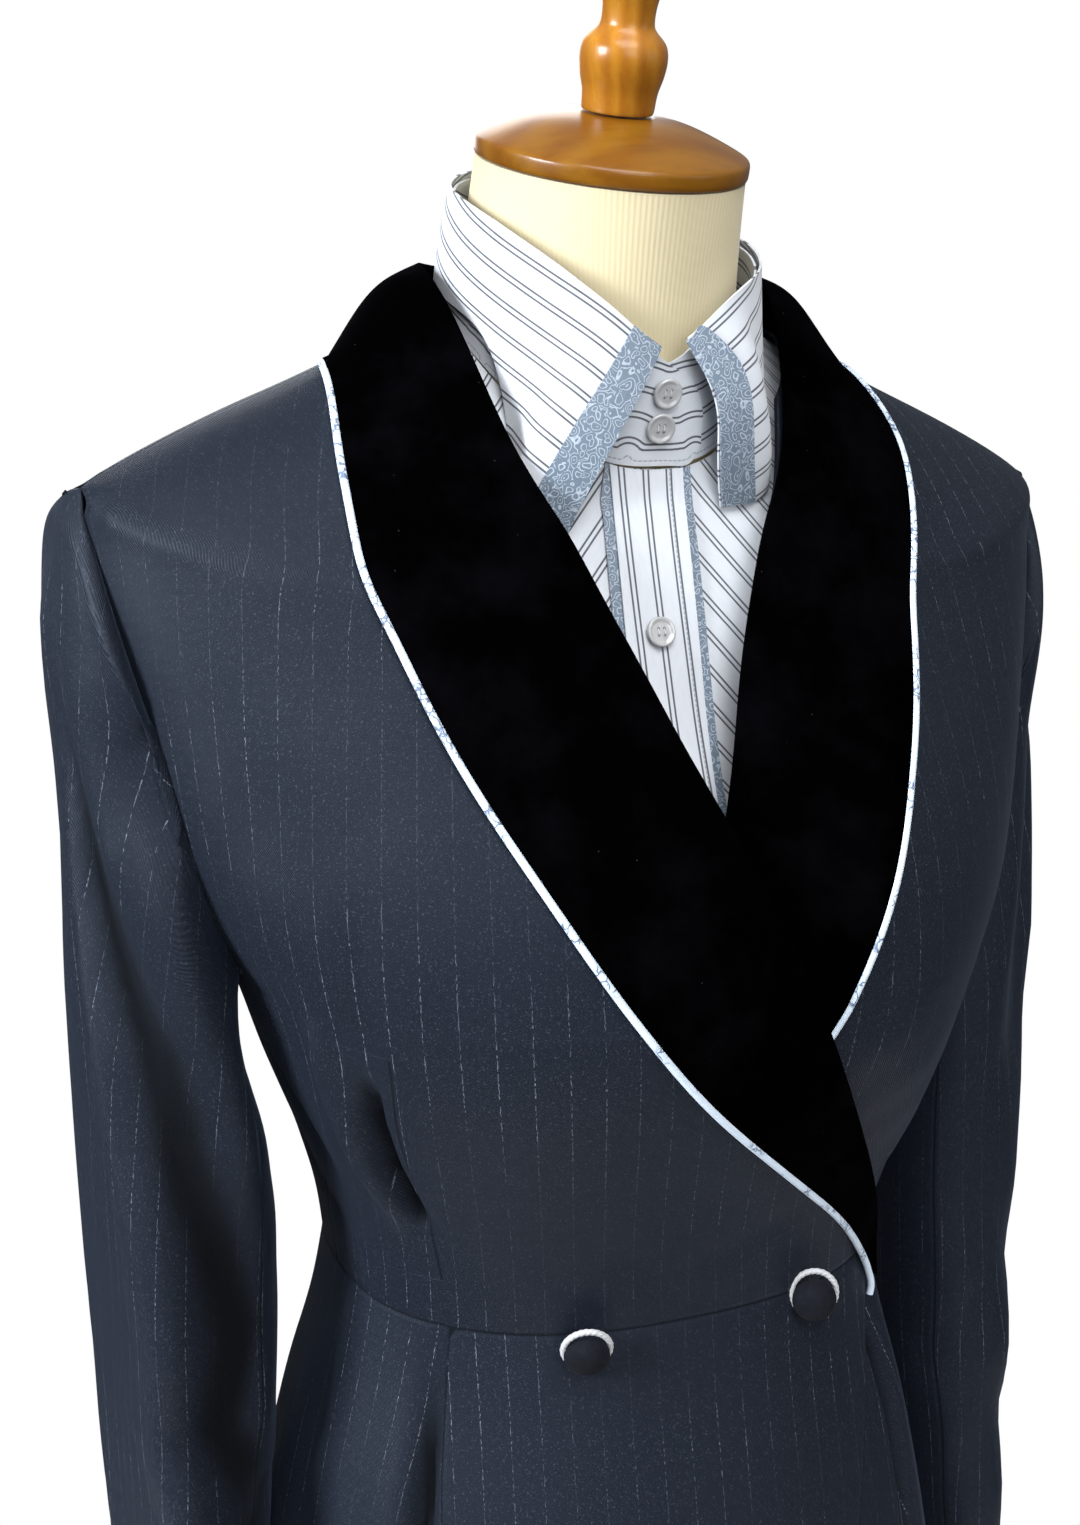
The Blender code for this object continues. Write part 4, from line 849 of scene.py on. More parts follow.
def suiting(name, shift=0.0):
    """Charcoal twill, slightly blue, with a dotted silver thread every half inch; deep fold troughs and the
    lines along darts, seams and edges are painted near-black as shade.
    """
    made, tree, shader = new_material(name, (0.020, 0.023, 0.032), 0.6)
    across, along = cut_places(tree)
    height, shade = weave(tree, across, along, TWILL, 0.85)
    cloth = blend_colours(tree, shade, (0.0030, 0.0044, 0.0084), (0.0100, 0.0138, 0.0235))
    place = own_place(tree)
    tone = node(tree, "ShaderNodeTexNoise", {"Vector": place, "Scale": 11.0, "Detail": 3.0})
    cloth = blend_colours(tree, maths(tree, "MULTIPLY", tone.outputs["Fac"], 0.5), cloth,
                          (0.0050, 0.0068, 0.0114))
    speck = node(tree, "ShaderNodeTexNoise", {"Vector": place, "Scale": 1250.0, "Detail": 1.0})
    speck_lit = node(tree, "ShaderNodeMapRange", {0: speck.outputs["Fac"], 1: 0.60, 2: 0.80})
    cloth = blend_colours(tree, maths(tree, "MULTIPLY", speck_lit.outputs[0], 0.6), cloth,
                          (0.050, 0.058, 0.078))
    stripe = line(tree, across, PINSTRIPE, shift, 0.00040)
    cell = node(tree, "ShaderNodeCombineXYZ",
                {0: maths(tree, "FLOOR", maths(tree, "DIVIDE", across, PINSTRIPE)),
                 1: maths(tree, "FLOOR", maths(tree, "DIVIDE", along, DOT))})
    chance = node(tree, "ShaderNodeTexWhiteNoise", {"Vector": cell.outputs[0]}, noise_dimensions="2D")
    stretch = node(tree, "ShaderNodeTexNoise", {"Vector": place, "Scale": 14.0, "Detail": 1.0})
    shown = node(tree, "ShaderNodeMapRange", {0: stretch.outputs["Fac"], 1: 0.38, 2: 0.62, 3: 0.25, 4: 1.0})
    dash = node(tree, "ShaderNodeMapRange", {0: chance.outputs["Value"], 1: 0.50, 2: 1.0})
    glint = maths(tree, "MULTIPLY", maths(tree, "MULTIPLY", stripe, shown.outputs[0]),
                  maths(tree, "POWER", dash.outputs[0], 1.2))
    colour = blend_colours(tree, glint, cloth, (0.15, 0.17, 0.215))
    # painted shade: the deepest fold troughs (beside the darts, behind the slits, down the sleeve's valley) are
    # coloured near-black
    painted_fold_shade = node(tree, "ShaderNodeAttribute", attribute_name="painted_fold_shade")
    colour = blend_colours(tree, painted_fold_shade.outputs["Fac"], colour, (0.0008, 0.0010, 0.0016))
    # painted shade: a near-black line along the dart lines, the seams and the free edges, where the cloth turns
    # in
    dart = maths(tree, "ABSOLUTE", node(tree, "ShaderNodeAttribute", attribute_name="dart").outputs["Fac"])
    edge = node(tree, "ShaderNodeAttribute", attribute_name="edge").outputs["Fac"]
    near_seam = maths(tree, "MINIMUM", dart, maths(tree, "ADD", edge, 0.0001))
    painted_seam_and_edge_shade = node(tree, "ShaderNodeMapRange", {0: near_seam, 1: 0.0003, 2: 0.0011, 3: 1.0, 4: 0.0})
    colour = blend_colours(tree, maths(tree, "MULTIPLY", painted_seam_and_edge_shade.outputs[0], 0.75), colour,
                           (0.0008, 0.0010, 0.0016))
    rough = node(tree, "ShaderNodeMapRange", {0: maths(tree, "MAXIMUM", painted_fold_shade.outputs["Fac"], painted_seam_and_edge_shade.outputs[0]),
                                              3: 0.55, 4: 1.0})
    tree.links.new(rough.outputs[0], shader.inputs["Roughness"])
    tree.links.new(colour, shader.inputs["Base Color"])
    shader.inputs["Specular IOR Level"].default_value = 0.20
    shader.inputs["Specular Tint"].default_value = (0.72, 0.82, 1.0, 1)
    shader.inputs["Sheen Weight"].default_value = 0.05
    shader.inputs["Sheen Roughness"].default_value = 0.35
    shader.inputs["Sheen Tint"].default_value = (0.50, 0.66, 1.0, 1)
    turned_in = node(tree, "ShaderNodeMapRange", {0: near_seam, 1: 0.0, 2: 0.0024, 3: 3.0, 4: 0.0})
    bumped(tree, shader, maths(tree, "SUBTRACT", height, turned_in.outputs[0]), 0.5, 0.00025)
    return made


BODY_GIRTH = 0.155        # a rounded radius of the body, to measure round it in metres
SLEEVE_GIRTH = 0.052      # the same for a sleeve
SHOULDER = 1.12           # height above which outwards turns upwards
NO_DART = 0.05            # a distance well clear of any dart


def round_body(place):
    """Where each point lies round the body, in metres from the centre front, and which way is out."""
    turn = np.arctan2(place[:, 0], -place[:, 1])
    out = np.column_stack([place[:, 0], place[:, 1], np.maximum(0, place[:, 2] - SHOULDER) * 1.5])
    return turn * BODY_GIRTH, out / np.linalg.norm(out, axis=1)[:, None], BODY_GIRTH


SEWN_REACH = 0.004        # rims closer than this are one seam


def relax(pieces, share, times, back=0.53):
    """Even out sewn pieces together: share is how freely each point moves, back undoes the shrinking."""
    places = [points_of(piece) for piece in pieces]
    first = np.cumsum([0] + [len(place) for place in places])
    pairs, rims = [], []
    for piece, start in zip(pieces, first):
        ends = np.empty(len(piece.data.edges) * 2, np.int32)
        piece.data.edges.foreach_get("vertices", ends)
        pairs.append(ends.reshape(-1, 2) + start)
        rims.append(np.array(sorted(rim_of(piece)), int))
    fixed = np.zeros(first[-1], bool)
    for k, rim in enumerate(rims):
        fixed[rim + first[k]] = True
    for k, rim in enumerate(rims):
        tree = looked_up(places[k], rim)
        for other in range(k + 1, len(pieces)):
            for a in rims[other]:
                _, b, gap = tree.find(places[other][a])
                if gap < SEWN_REACH:
                    pairs.append(np.array([[a + first[other], b + first[k]]] * 3))
                    fixed[a + first[other]] = fixed[b + first[k]] = False
    pairs = np.concatenate(pairs)
    place = np.concatenate(places)
    weight = np.where(fixed, 0, np.concatenate(share))[:, None]
    count = np.bincount(pairs.ravel(), minlength=len(place))[:, None]
    for step in range(2 * times):
        mean = np.empty_like(place)
        for axis in range(3):
            mean[:, axis] = (np.bincount(pairs[:, 0], place[pairs[:, 1], axis], len(place))
                             + np.bincount(pairs[:, 1], place[pairs[:, 0], axis], len(place)))
        place = place + weight * (mean / count - place) * (-back if step % 2 else 0.5)
    for k, piece in enumerate(pieces):
        place_points(piece, place[first[k]:first[k + 1]])


def on_segment(point, start, end):
    """The place on a short straight line that is closest to a point."""
    way = end - start
    return start + way * min(max((point - start).dot(way) / way.length_squared, 0), 1)


class Edges:
    """The rims of some pieces, as short straight lines, to find the nearest place on them."""
    def __init__(self, pieces, kept=lambda a, b: True):
        self.lines = []
        for piece in pieces:
            place = points_of(piece)
            for a, pair in rim_of(piece).items():
                self.lines += [(Vector(place[a]), Vector(place[b])) for b in pair
                               if kept(place[a], place[b]) and (place[a] != place[b]).any()]
        self.tree = KDTree(len(self.lines))
        for k, (a, b) in enumerate(self.lines):
            self.tree.insert((a + b) / 2, k)
        self.tree.balance()

    def nearest(self, point):
        found = [on_segment(point, *self.lines[k]) for _, k, _ in self.tree.find_n(point, 5)]
        return min(found, key=lambda spot: (spot - point).length)


def sew(pieces, reach=0.0036):
    """Bring the rims of neighbouring pieces together where they lie closer than reach."""
    moved = []
    for piece in pieces:
        others = Edges([other for other in pieces if other is not piece])
        place = points_of(piece)
        for a in rim_of(piece):
            point = Vector(place[a])
            spot = others.nearest(point)
            if (spot - point).length < reach:
                place[a] = (point + spot) / 2
        moved.append(place)
    for piece, place in zip(pieces, moved):
        place_points(piece, place)


def eased(share):
    """A soft step from 0 to 1."""
    share = np.clip(share, 0, 1)
    return share ** 2 * (3 - 2 * share)


def fold(piece, where, folds):
    """Raise soft ridges and press soft troughs along lines given round the piece, in degrees, and up it, and
    mark the deepest troughs to be painted near-black as shade.
    """
    place = points_of(piece)
    round_it, out, girth = where(place)
    lift, painted_fold_shade = np.zeros(len(place)), np.zeros(len(place))
    whole = 2 * pi * girth
    for line_points, width, depth, fade_in, fade_out in folds:
        path = np.array([(radians(turn) * girth, height) for turn, height in line_points])
        lengths = np.linalg.norm(np.diff(path, axis=0), axis=1)
        start = np.concatenate([[0], np.cumsum(lengths)])
        near, along = np.full(len(place), 9.0), np.zeros(len(place))
        for k, length in enumerate(lengths):
            way = (path[k + 1] - path[k]) / length
            aside = (round_it - path[k][0] + whole / 2) % whole - whole / 2
            up_by = place[:, 2] - path[k][1]
            on = np.clip(aside * way[0] + up_by * way[1], 0, length)
            gap = np.hypot(aside - on * way[0], up_by - on * way[1])
            closer = gap < near
            near[closer] = gap[closer]
            along[closer] = ((start[k] + on) / start[-1])[closer]
        rise = np.exp(-(near / width) ** 2) - 0.30 * np.exp(-(near / (2.3 * width)) ** 2)
        ends = np.ones(len(place))
        if fade_in:
            ends *= eased(along / fade_in)
        if fade_out:
            ends *= eased((1 - along) / fade_out)
        lift += depth * rise * ends
        # troughs deeper than 6 mm are marked for painted near-black shade
        if depth < -0.006:
            painted_fold_shade = np.maximum(painted_fold_shade, np.exp(-(near / (0.75 * width)) ** 4) * np.minimum(1, 1.6 * ends))
    place_points(piece, place + out * lift[:, None])
    keep(piece, "painted_fold_shade", painted_fold_shade)


def sew_dart(piece, darts):
    """Mark the sewn lines of the darts: how far each corner is to one side of the nearest."""
    place = points_of(piece)
    round_it, _, girth = round_body(place)
    aside = np.full(len(place), NO_DART)
    for line_points in darts:
        path = np.array(sorted((height, radians(turn) * girth) for turn, height in line_points))
        off = round_it - np.interp(place[:, 2], path[:, 0], path[:, 1])
        on = (place[:, 2] > path[0, 0]) & (place[:, 2] < path[-1, 0]) & (np.abs(off) < 0.04)
        aside[on] = off[on]
    # read by the suiting for its painted shade line along each dart
    keep(piece, "dart", aside)


# (round the body in degrees and height), width, depth, fade at the start and at the end
BODY_FOLDS = [
    # beside the near dart: a deep trough, painted near-black as shade
    ([(-52.6, 0.970), (-53.6, 0.945), (-52.8, 0.924), (-50.9, 0.908), (-48.9, 0.891)],
     0.0056, -0.0130, 0.30, 0.20),
    ([(-60, 0.995), (-60, 0.950), (-57.2, 0.918), (-52.5, 0.890)], 0.0078, 0.0080, 0.3, 0.3),
    ([(-46, 1.030), (-45, 0.960), (-45, 0.900)], 0.0100, 0.0016, 0.4, 0.3),
    ([(-51, 1.045), (-51, 0.990), (-52, 0.968)], 0.0060, -0.0016, 0.5, 0.2),
    ([(-86, 0.960), (-76, 0.925), (-66, 0.893)], 0.0085, -0.0028, 0.4, 0.3),
    ([(-98, 0.915), (-84, 0.893), (-72, 0.872)], 0.0080, -0.0026, 0.4, 0.2),
    ([(-92, 1.010), (-82, 0.965), (-72, 0.925)], 0.0120, 0.0018, 0.4, 0.4),
    ([(-80, 1.175), (-70, 1.120), (-60, 1.060)], 0.0220, 0.0020, 0.4, 0.5),
    ([(-30, 0.905), (-8, 0.868), (12, 0.884), (28, 0.902)], 0.0090, -0.0014, 0.3, 0.4),
    ([(-20, 0.960), (0, 0.930), (18, 0.900)], 0.0150, 0.0012, 0.4, 0.4),
    # beside the far dart: deep enough to be painted near-black as shade
    ([(54, 0.962), (55, 0.925), (50, 0.894)], 0.0060, -0.0070, 0.35, 0.25),
    ([(66, 0.985), (61, 0.930), (55, 0.892)], 0.0110, 0.0026, 0.3, 0.3),
    ([(82, 0.955), (72, 0.912), (64, 0.885)], 0.0080, -0.0026, 0.4, 0.3),
    ([(96, 0.935), (84, 0.900), (76, 0.876)], 0.0090, -0.0022, 0.4, 0.3),
    ([(72, 1.150), (64, 1.090), (58, 1.030)], 0.0200, 0.0018, 0.4, 0.5),
    ([(-165, 0.900), (-140, 0.885), (-118, 0.895)], 0.0090, -0.0030, 0.35, 0.4),
    ([(-158, 0.935), (-138, 0.915), (-112, 0.930)], 0.0110, 0.0022, 0.4, 0.4),
    ([(168, 0.905), (146, 0.890), (120, 0.905)], 0.0100, -0.0032, 0.35, 0.4),
    ([(160, 0.945), (142, 0.930), (118, 0.948)], 0.0120, 0.0020, 0.4, 0.4),
    ([(-150, 1.150), (-142, 1.060), (-150, 0.980)], 0.0170, 0.0028, 0.4, 0.4),
    ([(-128, 1.140), (-122, 1.070), (-128, 1.010)], 0.0120, -0.0026, 0.4, 0.4),
    ([(152, 1.160), (146, 1.070), (154, 0.990)], 0.0160, 0.0026, 0.4, 0.4),
    ([(130, 1.130), (126, 1.080), (132, 1.020)], 0.0120, -0.0024, 0.4, 0.4),
    ([(-170, 1.205), (-180, 1.190), (-192, 1.203)], 0.0110, -0.0018, 0.4, 0.4),
    # the skirt's flutes, deeper towards the hem
    ([(-57, 0.835), (-57, 0.740), (-56, 0.612)], 0.0120, 0.0032, 0.5, 0.0),
    ([(-72, 0.820), (-73, 0.740), (-75, 0.612)], 0.0140, -0.0034, 0.6, 0.0),
    ([(-88, 0.842), (-89, 0.750), (-92, 0.612)], 0.0160, 0.0050, 0.6, 0.0),
    ([(-108, 0.820), (-108, 0.740), (-111, 0.612)], 0.0150, -0.0042, 0.6, 0.0),
    ([(-126, 0.835), (-127, 0.750), (-127, 0.612)], 0.0150, 0.0038, 0.6, 0.0),
    ([(-150, 0.830), (-151, 0.740), (-153, 0.612)], 0.0180, 0.0034, 0.6, 0.0),
    ([(-27, 0.800), (-26, 0.720), (-24, 0.612)], 0.0170, 0.0024, 0.6, 0.0),
    ([(-7, 0.790), (-8, 0.700), (-8, 0.612)], 0.0160, -0.0018, 0.6, 0.0),
    ([(57, 0.830), (58, 0.740), (58, 0.612)], 0.0130, 0.0034, 0.5, 0.0),
    ([(76, 0.835), (76, 0.750), (79, 0.612)], 0.0140, -0.0036, 0.6, 0.0),
    ([(94, 0.830), (96, 0.740), (97, 0.612)], 0.0150, 0.0046, 0.6, 0.0),
    ([(114, 0.825), (115, 0.740), (116, 0.612)], 0.0160, -0.0040, 0.6, 0.0),
    ([(132, 0.840), (131, 0.740), (133, 0.612)], 0.0140, 0.0036, 0.6, 0.0),
    ([(160, 0.820), (162, 0.730), (160, 0.612)], 0.0170, 0.0030, 0.6, 0.0),
]
# troughs in the side skirts behind the two slits, painted near-black as shade
SLIT_FOLDS = [
    ([(-50.4, 0.838), (-50.2, 0.780), (-49.8, 0.700), (-49.2, 0.612)], 0.0062, -0.0130, 0.30, 0.0),
    ([(50.2, 0.838), (49.6, 0.760), (49.0, 0.612)], 0.0062, -0.0120, 0.30, 0.0),
]
DARTS = ([(-48.3, 0.9760), (-48.9, 0.9393), (-48.1, 0.8954), (-47.9, 0.8700)],
         [(48.3, 0.9760), (48.9, 0.9393), (48.1, 0.8954), (47.9, 0.8700)])
SUITING, LAP_AIR = 0.0014, 0.0004
suit_cloth = suiting("suiting_twill")
sheets = {}
BODICE = ("bodice_back_right", "bodice_back_left", "bodice_front_left", "bodice_front_right")
for label in BODICE:
    panel = outer_sheet(label, label + "_cloth", 3)
    sheets[label] = (panel, cut_map(panel))
body = [sheets[label][0] for label in BODICE]
relax(body, [0.95 * np.exp(-((points_of(panel)[:, 2] - 1.160) / 0.030) ** 2) for panel in body], 60, back=0.0)


# ---- jacket skirt: six flared pieces of the same twill, sewn on at the waist seam and folded with
# the body above, open at the two slits, the right front lapped over the left
SKIRT = ("skirt_back_right", "skirt_back_left", "skirt_side_right", "skirt_side_left",
         "skirt_front_left", "skirt_front_right")
for label in SKIRT:
    panel = outer_sheet(label, label + "_cloth", 3)
    sheets[label] = (panel, cut_map(panel))
sew([sheets[label][0] for label in BODICE + SKIRT])
for label in BODICE + SKIRT:
    panel = sheets[label][0]
    fold(panel, round_body, BODY_FOLDS + (SLIT_FOLDS if "side" in label else []))
    if label in BODICE:
        sew_dart(panel, DARTS)
    else:
        keep(panel, "dart", np.full(len(panel.data.vertices), NO_DART))
for label in ("bodice_front_", "skirt_front_"):
    lay_over(sheets[label + "right"][0], sheets[label + "left"][0], SUITING + LAP_AIR)


# ---- lapels: one deep shawl shape of black velvet on each side, turned back along the roll line and
# lying on the fronts, its short pile lightly crushed
velvet, tree, shader = new_material("velvet_nap", (0.004, 0.004, 0.006), 0.9)
place = own_place(tree)
crush = node(tree, "ShaderNodeTexNoise", {"Vector": place, "Scale": 26.0, "Detail": 4.0, "Roughness": 0.6})
pile = node(tree, "ShaderNodeTexNoise", {"Vector": place, "Scale": 1400.0, "Detail": 2.0})
nap = node(tree, "ShaderNodeMapRange", {0: crush.outputs["Fac"], 1: 0.46, 2: 0.76})
lint = node(tree, "ShaderNodeTexVoronoi", {"Vector": place, "Scale": 95.0}, feature="F1")
lint_spot = node(tree, "ShaderNodeMapRange", {0: lint.outputs["Distance"], 1: 0.035, 2: 0.022})
black = blend_colours(tree, nap.outputs[0], (0.0003, 0.0003, 0.0004), (0.0016, 0.0014, 0.0020))
lint_on = maths(tree, "MULTIPLY", lint_spot.outputs[0], 0.25)
tree.links.new(blend_colours(tree, lint_on, black, (0.05, 0.05, 0.055)), shader.inputs["Base Color"])
shader.inputs["Specular IOR Level"].default_value = 0.0
shader.inputs["Sheen Weight"].default_value = 0.008
shader.inputs["Sheen Roughness"].default_value = 0.3
shader.inputs["Sheen Tint"].default_value = (0.75, 0.68, 0.85, 1)
bumped(tree, shader, pile.outputs["Fac"], 0.4, 0.0003)
VELVET = 0.0016
for side in ("right", "left"):
    lapel = outer_sheet("lapel_" + side, f"lapel_{side}_velvet", 3, fair=3)
    sheets["lapel_" + side] = (lapel, cut_map(lapel, grain=None))
    fold(lapel, round_body, BODY_FOLDS)
    lay_over(lapel, sheets["bodice_front_" + side][0], VELVET + LAP_AIR)


# ---- piping: a corded edge of pale blue satin jacquard sewn between the lapel and its facing, from
# below the shoulder down to a short hook at the waist
piping_cloth, tree, shader = new_material("piping_satin", (0.62, 0.68, 0.76), 0.4)
place = own_place(tree)
cells = node(tree, "ShaderNodeTexVoronoi", {"Vector": warped_by(tree, place, 260.0, 0.006), "Scale": 190.0},
             feature="DISTANCE_TO_EDGE")
vein = node(tree, "ShaderNodeMapRange", {0: cells.outputs["Distance"], 1: 0.03, 2: 0.09, 3: 1.0, 4: 0.0})
groups_of = node(tree, "ShaderNodeTexNoise", {"Vector": place, "Scale": 70.0, "Detail": 1.0})
group_on = node(tree, "ShaderNodeMapRange", {0: groups_of.outputs["Fac"], 1: 0.50, 2: 0.56})
ink = maths(tree, "MULTIPLY", vein.outputs[0], group_on.outputs[0])
tree.links.new(blend_colours(tree, maths(tree, "MULTIPLY", ink, 0.9), (0.58, 0.68, 0.80), (0.06, 0.10, 0.19)),
               shader.inputs["Base Color"])
shader.inputs["Sheen Weight"].default_value = 0.15
bumped(tree, shader, vein.outputs[0], 0.2, 0.0001)

PIPING = 0.00155
PIPING_END = 0.005        # how far above the lapel's lowest point the cord leaves its rim
PIPING_HOOK = [(0.0013, 0.0, -0.0026), (0.0018, 0.0, -0.0052),
               (0.0014, 0.0, -0.0074), (0.0004, 0.0, -0.0092)]
for side in ("right", "left"):
    lapel = sheets["lapel_" + side][0]
    line_of = surface_of(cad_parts["piping_" + side])
    rim = rim_of(lapel)
    place, facing = points_of(lapel), normals_of(lapel)
    close = {a for a in rim if line_of.find_nearest(Vector(place[a]), 0.0045)[0] is not None}
    starts = [a for a in close if sum(b in close for b in rim[a]) == 1]
    start = max(starts, key=lambda a: place[a][2])
    chain, last = [start], None
    while True:
        onward = [b for b in rim[chain[-1]] if b in close and b != last]
        if not onward or onward[0] == start:
            break
        last = chain[-1]
        chain.append(onward[0])
    low = int(np.argmin(place[chain, 2]))
    chain = [a for a in chain[:low] if np.linalg.norm(place[a] - place[chain[low]]) > PIPING_END]
    middle = place.mean(0)
    points = place[chain]
    tangent = np.gradient(points, axis=0)
    tangent /= np.linalg.norm(tangent, axis=1)[:, None]
    beyond = np.cross(tangent, facing[chain])
    if np.mean(np.sum(beyond * (points - middle), axis=1)) < 0:
        beyond = -beyond
    points = points + beyond * (PIPING * 0.75) - facing[chain] * 0.0004
    if side == "right":
        points = np.vstack([points, points[-1] + PIPING_HOOK])
    for _ in range(4):
        points[1:-1] = 0.5 * points[1:-1] + 0.25 * (points[:-2] + points[2:])
    path = bpy.data.curves.new(f"piping_{side}_line", "CURVE")
    path.dimensions = "3D"
    path.bevel_depth = PIPING
    path.bevel_resolution = 4
    path.use_fill_caps = True
    spline = path.splines.new("POLY")
    spline.points.add(len(points) - 1)
    for spot, point in zip(spline.points, points):
        spot.co = (*point, 1)
    cord = bpy.data.objects.new(f"piping_{side}_satin", path)
    bpy.context.scene.collection.objects.link(cord)
    only(cord)
    bpy.ops.object.convert(target="MESH")
    cord = bpy.context.object
    bpy.ops.object.shade_smooth()
    finish_with(cord, piping_cloth, "satin_pale_blue", "piping_" + side)


# ---- sleeves: a top and an under piece each, sewn into the armhole with a small roll at the head and
# hanging empty in long soft folds; after them every jacket piece is given its thickness and its cloth
def round_sleeve(side):
    """How far round a sleeve each point lies, from its front, and which way is out from its middle."""
    corners = np.array([v.co for part in ("sleeve_top_", "sleeve_under_")
                        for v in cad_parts[part + side].data.vertices], float)
    levels = np.linspace(corners[:, 2].min(), SHOULDER, 14)
    weight = np.exp(-((corners[:, 2] - levels[:, None]) / 0.03) ** 2)
    middles = weight @ corners[:, :2] / weight.sum(1)[:, None]

    def where(place):
        level = np.minimum(place[:, 2], SHOULDER)
        middle = np.column_stack([np.interp(level, levels, middles[:, axis]) for axis in (0, 1)])
        off = place[:, :2] - middle
        out = np.column_stack([off, np.maximum(0, place[:, 2] - SHOULDER) * 1.2])
        round_it = np.arctan2(off[:, 0], -off[:, 1]) * SLEEVE_GIRTH
        return round_it, out / np.linalg.norm(out, axis=1)[:, None], SLEEVE_GIRTH
    return where


SLEEVE_FOLDS = {
    "right": [
        ([(-78, 1.120), (-72, 1.080), (-58, 1.010), (-34, 0.910), (-22, 0.800), (-16, 0.610)],
         0.0100, 0.0100, 0.30, 0.0),
        # a deep valley down the sleeve, painted near-black as shade
        ([(-50, 1.125), (-40, 1.040), (-14, 0.930), (2, 0.800), (8, 0.610)], 0.0120, -0.0130, 0.3, 0.0),
        ([(-20, 1.100), (-6, 1.020), (14, 0.930), (24, 0.820)], 0.0120, 0.0040, 0.3, 0.4),
        ([(-92, 1.060), (-88, 0.960), (-76, 0.860), (-66, 0.760)], 0.0080, -0.0020, 0.3, 0.4),
        ([(-114, 1.120), (-116, 0.980), (-112, 0.860), (-108, 0.720), (-104, 0.610)], 0.0200, 0.0058, 0.3, 0.0),
        ([(-70, 0.940), (-60, 0.925), (-44, 0.915)], 0.0060, -0.0016, 0.4, 0.4),
        ([(-90, 0.900), (-76, 0.880), (-58, 0.872)], 0.0070, 0.0018, 0.4, 0.4),
        ([(30, 0.960), (38, 0.900), (44, 0.820)], 0.0100, 0.0030, 0.4, 0.4),
        ([(150, 1.060), (160, 0.960), (170, 0.860)], 0.0120, -0.0040, 0.4, 0.4),
        ([(-170, 0.930), (-150, 0.900), (-128, 0.895)], 0.0080, -0.0034, 0.4, 0.4),
        ([(-182, 0.860), (-160, 0.845), (-138, 0.850)], 0.0080, 0.0026, 0.4, 0.4),
    ],
    "left": [
        ([(62, 1.145), (56, 1.060), (46, 0.960), (34, 0.850), (26, 0.740), (20, 0.610)],
         0.0090, 0.0044, 0.25, 0.0),
        ([(50, 1.110), (36, 1.000), (14, 0.890), (2, 0.760), (-4, 0.610)], 0.0130, -0.0056, 0.3, 0.0),
        ([(118, 1.040), (112, 0.920), (104, 0.800)], 0.0090, -0.0024, 0.3, 0.4),
        ([(60, 1.130), (60, 0.980), (62, 0.880), (64, 0.730)], 0.0260, 0.0165, 0.20, 0.45),
        ([(78, 0.925), (62, 0.910), (46, 0.905)], 0.0070, -0.0022, 0.4, 0.4),
        ([(-34, 0.950), (-40, 0.880), (-44, 0.800)], 0.0100, 0.0030, 0.4, 0.4),
        ([(-152, 1.050), (-164, 0.940), (-172, 0.850)], 0.0120, -0.0040, 0.4, 0.4),
        ([(172, 0.915), (150, 0.890), (130, 0.890)], 0.0080, -0.0034, 0.4, 0.4),
    ],
}
ARMHOLE_REACH, HEAD_BLEND, HEAD_SHIFT = 0.020, 0.030, 0.008
CAP_ROLL, CAP_RISE, CAP_LENGTH = 0.0075, 0.0060, 0.075
CAP_FOOT, CAP_FADE = 1.05, 0.06
UNDERARM = 0.97           # height below which no rim belongs to the armhole


def at_armhole(a, b):
    return abs(a[0]) > 0.11 and a[2] > UNDERARM and abs(a[1]) < 0.13


for side in ("right", "left"):
    labels = ["sleeve_under_" + side, "sleeve_top_" + side]
    for label in labels:
        panel = outer_sheet(label, label + "_cloth", 3, thin=0.0022)
        sheets[label] = (panel, cut_map(panel))
    bodice = [sheets["bodice_front_" + side][0], sheets["bodice_back_" + side][0]]
    armhole = Edges(bodice, at_armhole)
    sleeve, share, from_head = [sheets[label][0] for label in labels], [], []
    for panel in sleeve:
        place = points_of(panel)
        moved, head = place.copy(), []
        for a in rim_of(panel):
            spot = armhole.nearest(Vector(place[a]))
            if place[a][2] > UNDERARM and (spot - Vector(place[a])).length < ARMHOLE_REACH:
                moved[a] = spot
                head.append(a)
        gap = np.full(len(place), 1.0)
        heads = looked_up(place, head)
        shift = np.zeros_like(place)
        for k, point in enumerate(place):
            _, a, gap[k] = heads.find(Vector(point))
            shift[k] = moved[a] - place[a]
        place_points(panel, place + shift * np.exp(-(gap / HEAD_SHIFT) ** 2)[:, None])
        share.append(np.where(gap < 1e-6, 0.0, 0.95 * np.clip(1 - (gap / HEAD_BLEND) ** 2, 0, 1)))
        from_head.append(gap)
    relax(sleeve, share, 200, back=0.0)
    sew(sleeve)
    for panel, gap in zip(sleeve, from_head):
        place = points_of(panel)
        _, out, _ = round_sleeve(side)(place)
        roll = CAP_ROLL * (1 - np.exp(-gap / CAP_RISE)) * (1 - np.clip(gap / CAP_LENGTH, 0, 1) ** 2) ** 2
        roll *= eased((place[:, 2] - CAP_FOOT) / CAP_FADE)
        place_points(panel, place + out * roll[:, None])
    relax(sleeve, [0.5 * part for part in share], 24)
    sew(bodice + sleeve, 0.008)
    for panel in sleeve:
        fold(panel, round_sleeve(side), SLEEVE_FOLDS[side])
        keep(panel, "dart", np.full(len(panel.data.vertices), NO_DART))
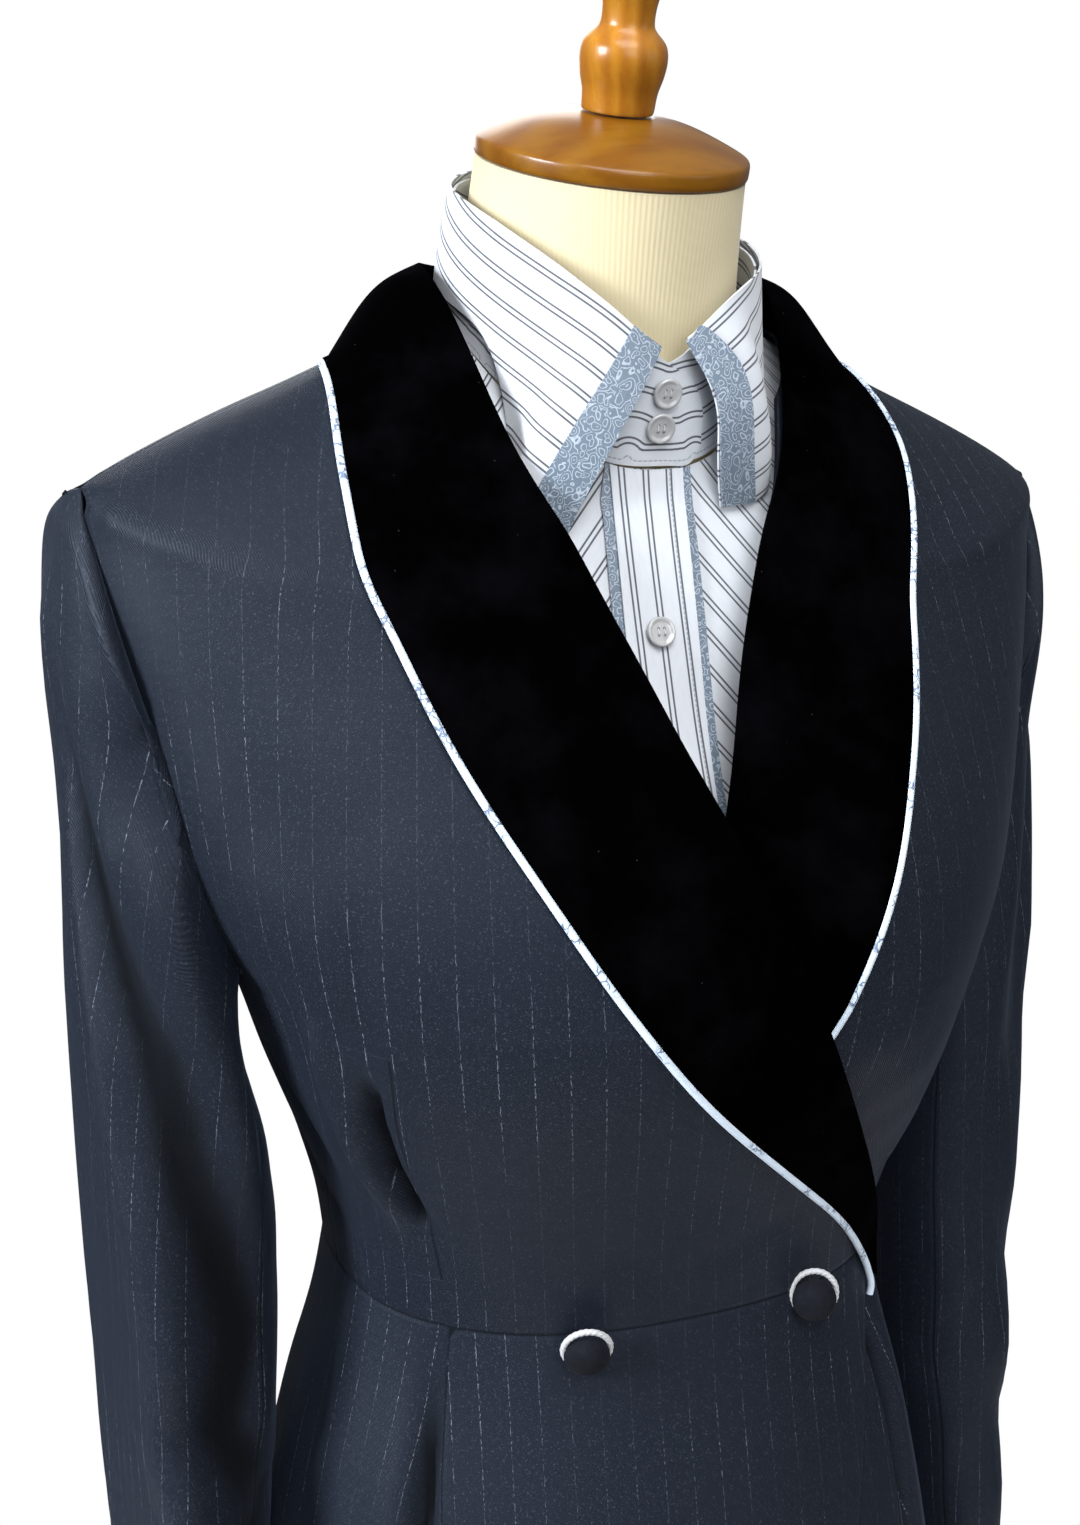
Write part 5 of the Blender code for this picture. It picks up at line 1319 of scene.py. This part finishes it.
for label, (panel, panel_cut) in sheets.items():
    velvet_piece = label.startswith("lapel")
    if not velvet_piece:
        # distance to the rim, read by the suiting for its painted shade line along seams and edges
        place = points_of(panel)
        keep(panel, "edge", gap_to(place, place[sorted(rim_of(panel))]))
    wall(panel, VELVET if velvet_piece else SUITING)
    finish_with(panel, velvet if velvet_piece else suit_cloth,
                "velvet_black" if velvet_piece else "suiting_charcoal", label)
    side = label.rsplit("_", 1)[1]
    if velvet_piece:
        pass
    elif label.startswith("sleeve"):
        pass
    else:
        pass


# ---- waist buttons: velvet-covered domes, each in a ring of two-ply cream cord; the right one
# fastens the wrap and the left one the front below it
cord_thread, tree, shader = new_material("cord_thread", (0.60, 0.62, 0.66), 0.6)
place = own_place(tree)
strand = node(tree, "ShaderNodeTexNoise", {"Vector": place, "Scale": 2600.0, "Detail": 2.0})
tree.links.new(blend_colours(tree, strand.outputs["Fac"], (0.22, 0.23, 0.26), (0.64, 0.65, 0.66)),
               shader.inputs["Base Color"])
shader.inputs["Sheen Weight"].default_value = 0.3
bumped(tree, shader, strand.outputs["Fac"], 0.4, 0.0001)

button_velvet, tree, shader = new_material("button_velvet", (0.010, 0.012, 0.018), 0.85)
place = own_place(tree)
rubbed = node(tree, "ShaderNodeTexNoise", {"Vector": place, "Scale": 420.0, "Detail": 3.0, "Roughness": 0.7})
tree.links.new(blend_colours(tree, rubbed.outputs["Fac"], (0.0015, 0.002, 0.003), (0.009, 0.011, 0.017)),
               shader.inputs["Base Color"])
shader.inputs["Specular IOR Level"].default_value = 0.10
shader.inputs["Sheen Weight"].default_value = 0.012
bumped(tree, shader, rubbed.outputs["Fac"], 0.5, 0.0003)

CORD_RING, CORD_THICK, CORD_TURNS, DOME_HANG = 0.0093, 0.0012, 26, 0.0018
BUTTON_LEAN = {"right": Vector((0.0, 0.0, -0.42)), "left": Vector((-0.62, 0.0, 0.02))}
BUTTON_STAND = {"right": Vector((0.0, -0.0034, 0.0010)), "left": Vector((-0.0010, -0.0030, 0.0028))}
for side in ("right", "left"):
    foot, facing, depth = face_of("waist_button_" + side)
    facing = (facing + BUTTON_LEAN[side]).normalized()
    foot = foot + BUTTON_STAND[side]
    down = Vector((0, 0, -1)) - facing * -facing.z
    dome = turned(f"waist_button_{side}_dome",
                  [(0.0070, 0.0), (0.0082, 0.0), (0.0090, 0.0012), (0.0092, 0.0026), (0.0090, 0.0044),
                   (0.0083, 0.0060), (0.0070, 0.0073), (0.0051, 0.0082), (0.0028, 0.0087), (0.0012, 0.0088)],
                  foot + down * DOME_HANG, facing + down * 0.22, sides=40, rounding=1)
    finish_with(dome, button_velvet, "velvet_black", "waist_button_" + side)
    bpy.ops.object.select_all(action="DESELECT")
    bpy.ops.mesh.primitive_torus_add(major_radius=CORD_RING, minor_radius=CORD_THICK,
                                     major_segments=312, minor_segments=14, location=(0, 0, CORD_THICK))
    ring = bpy.context.object
    ring.name = f"waist_button_{side}_cord"
    for corner in ring.data.vertices:
        out = Vector((corner.co.x, corner.co.y, 0)).normalized() * CORD_RING
        off = corner.co - out
        round_ring = np.arctan2(corner.co.y, corner.co.x)
        round_cord = np.arctan2(off.z, off.dot(out.normalized()))
        corner.co = out + off * (0.90 + 0.16 * abs(cos(round_cord - CORD_TURNS * round_ring / 2)))
    turn = Matrix.Translation(foot) @ facing.to_track_quat("Z", "Y").to_matrix().to_4x4()
    ring.data.transform(turn @ ring.matrix_world)
    ring.matrix_world = Matrix.Identity(4)
    only(ring)
    bpy.ops.object.shade_smooth()
    finish_with(ring, cord_thread, "satin_pale_blue", "waist_button_cord_" + side)


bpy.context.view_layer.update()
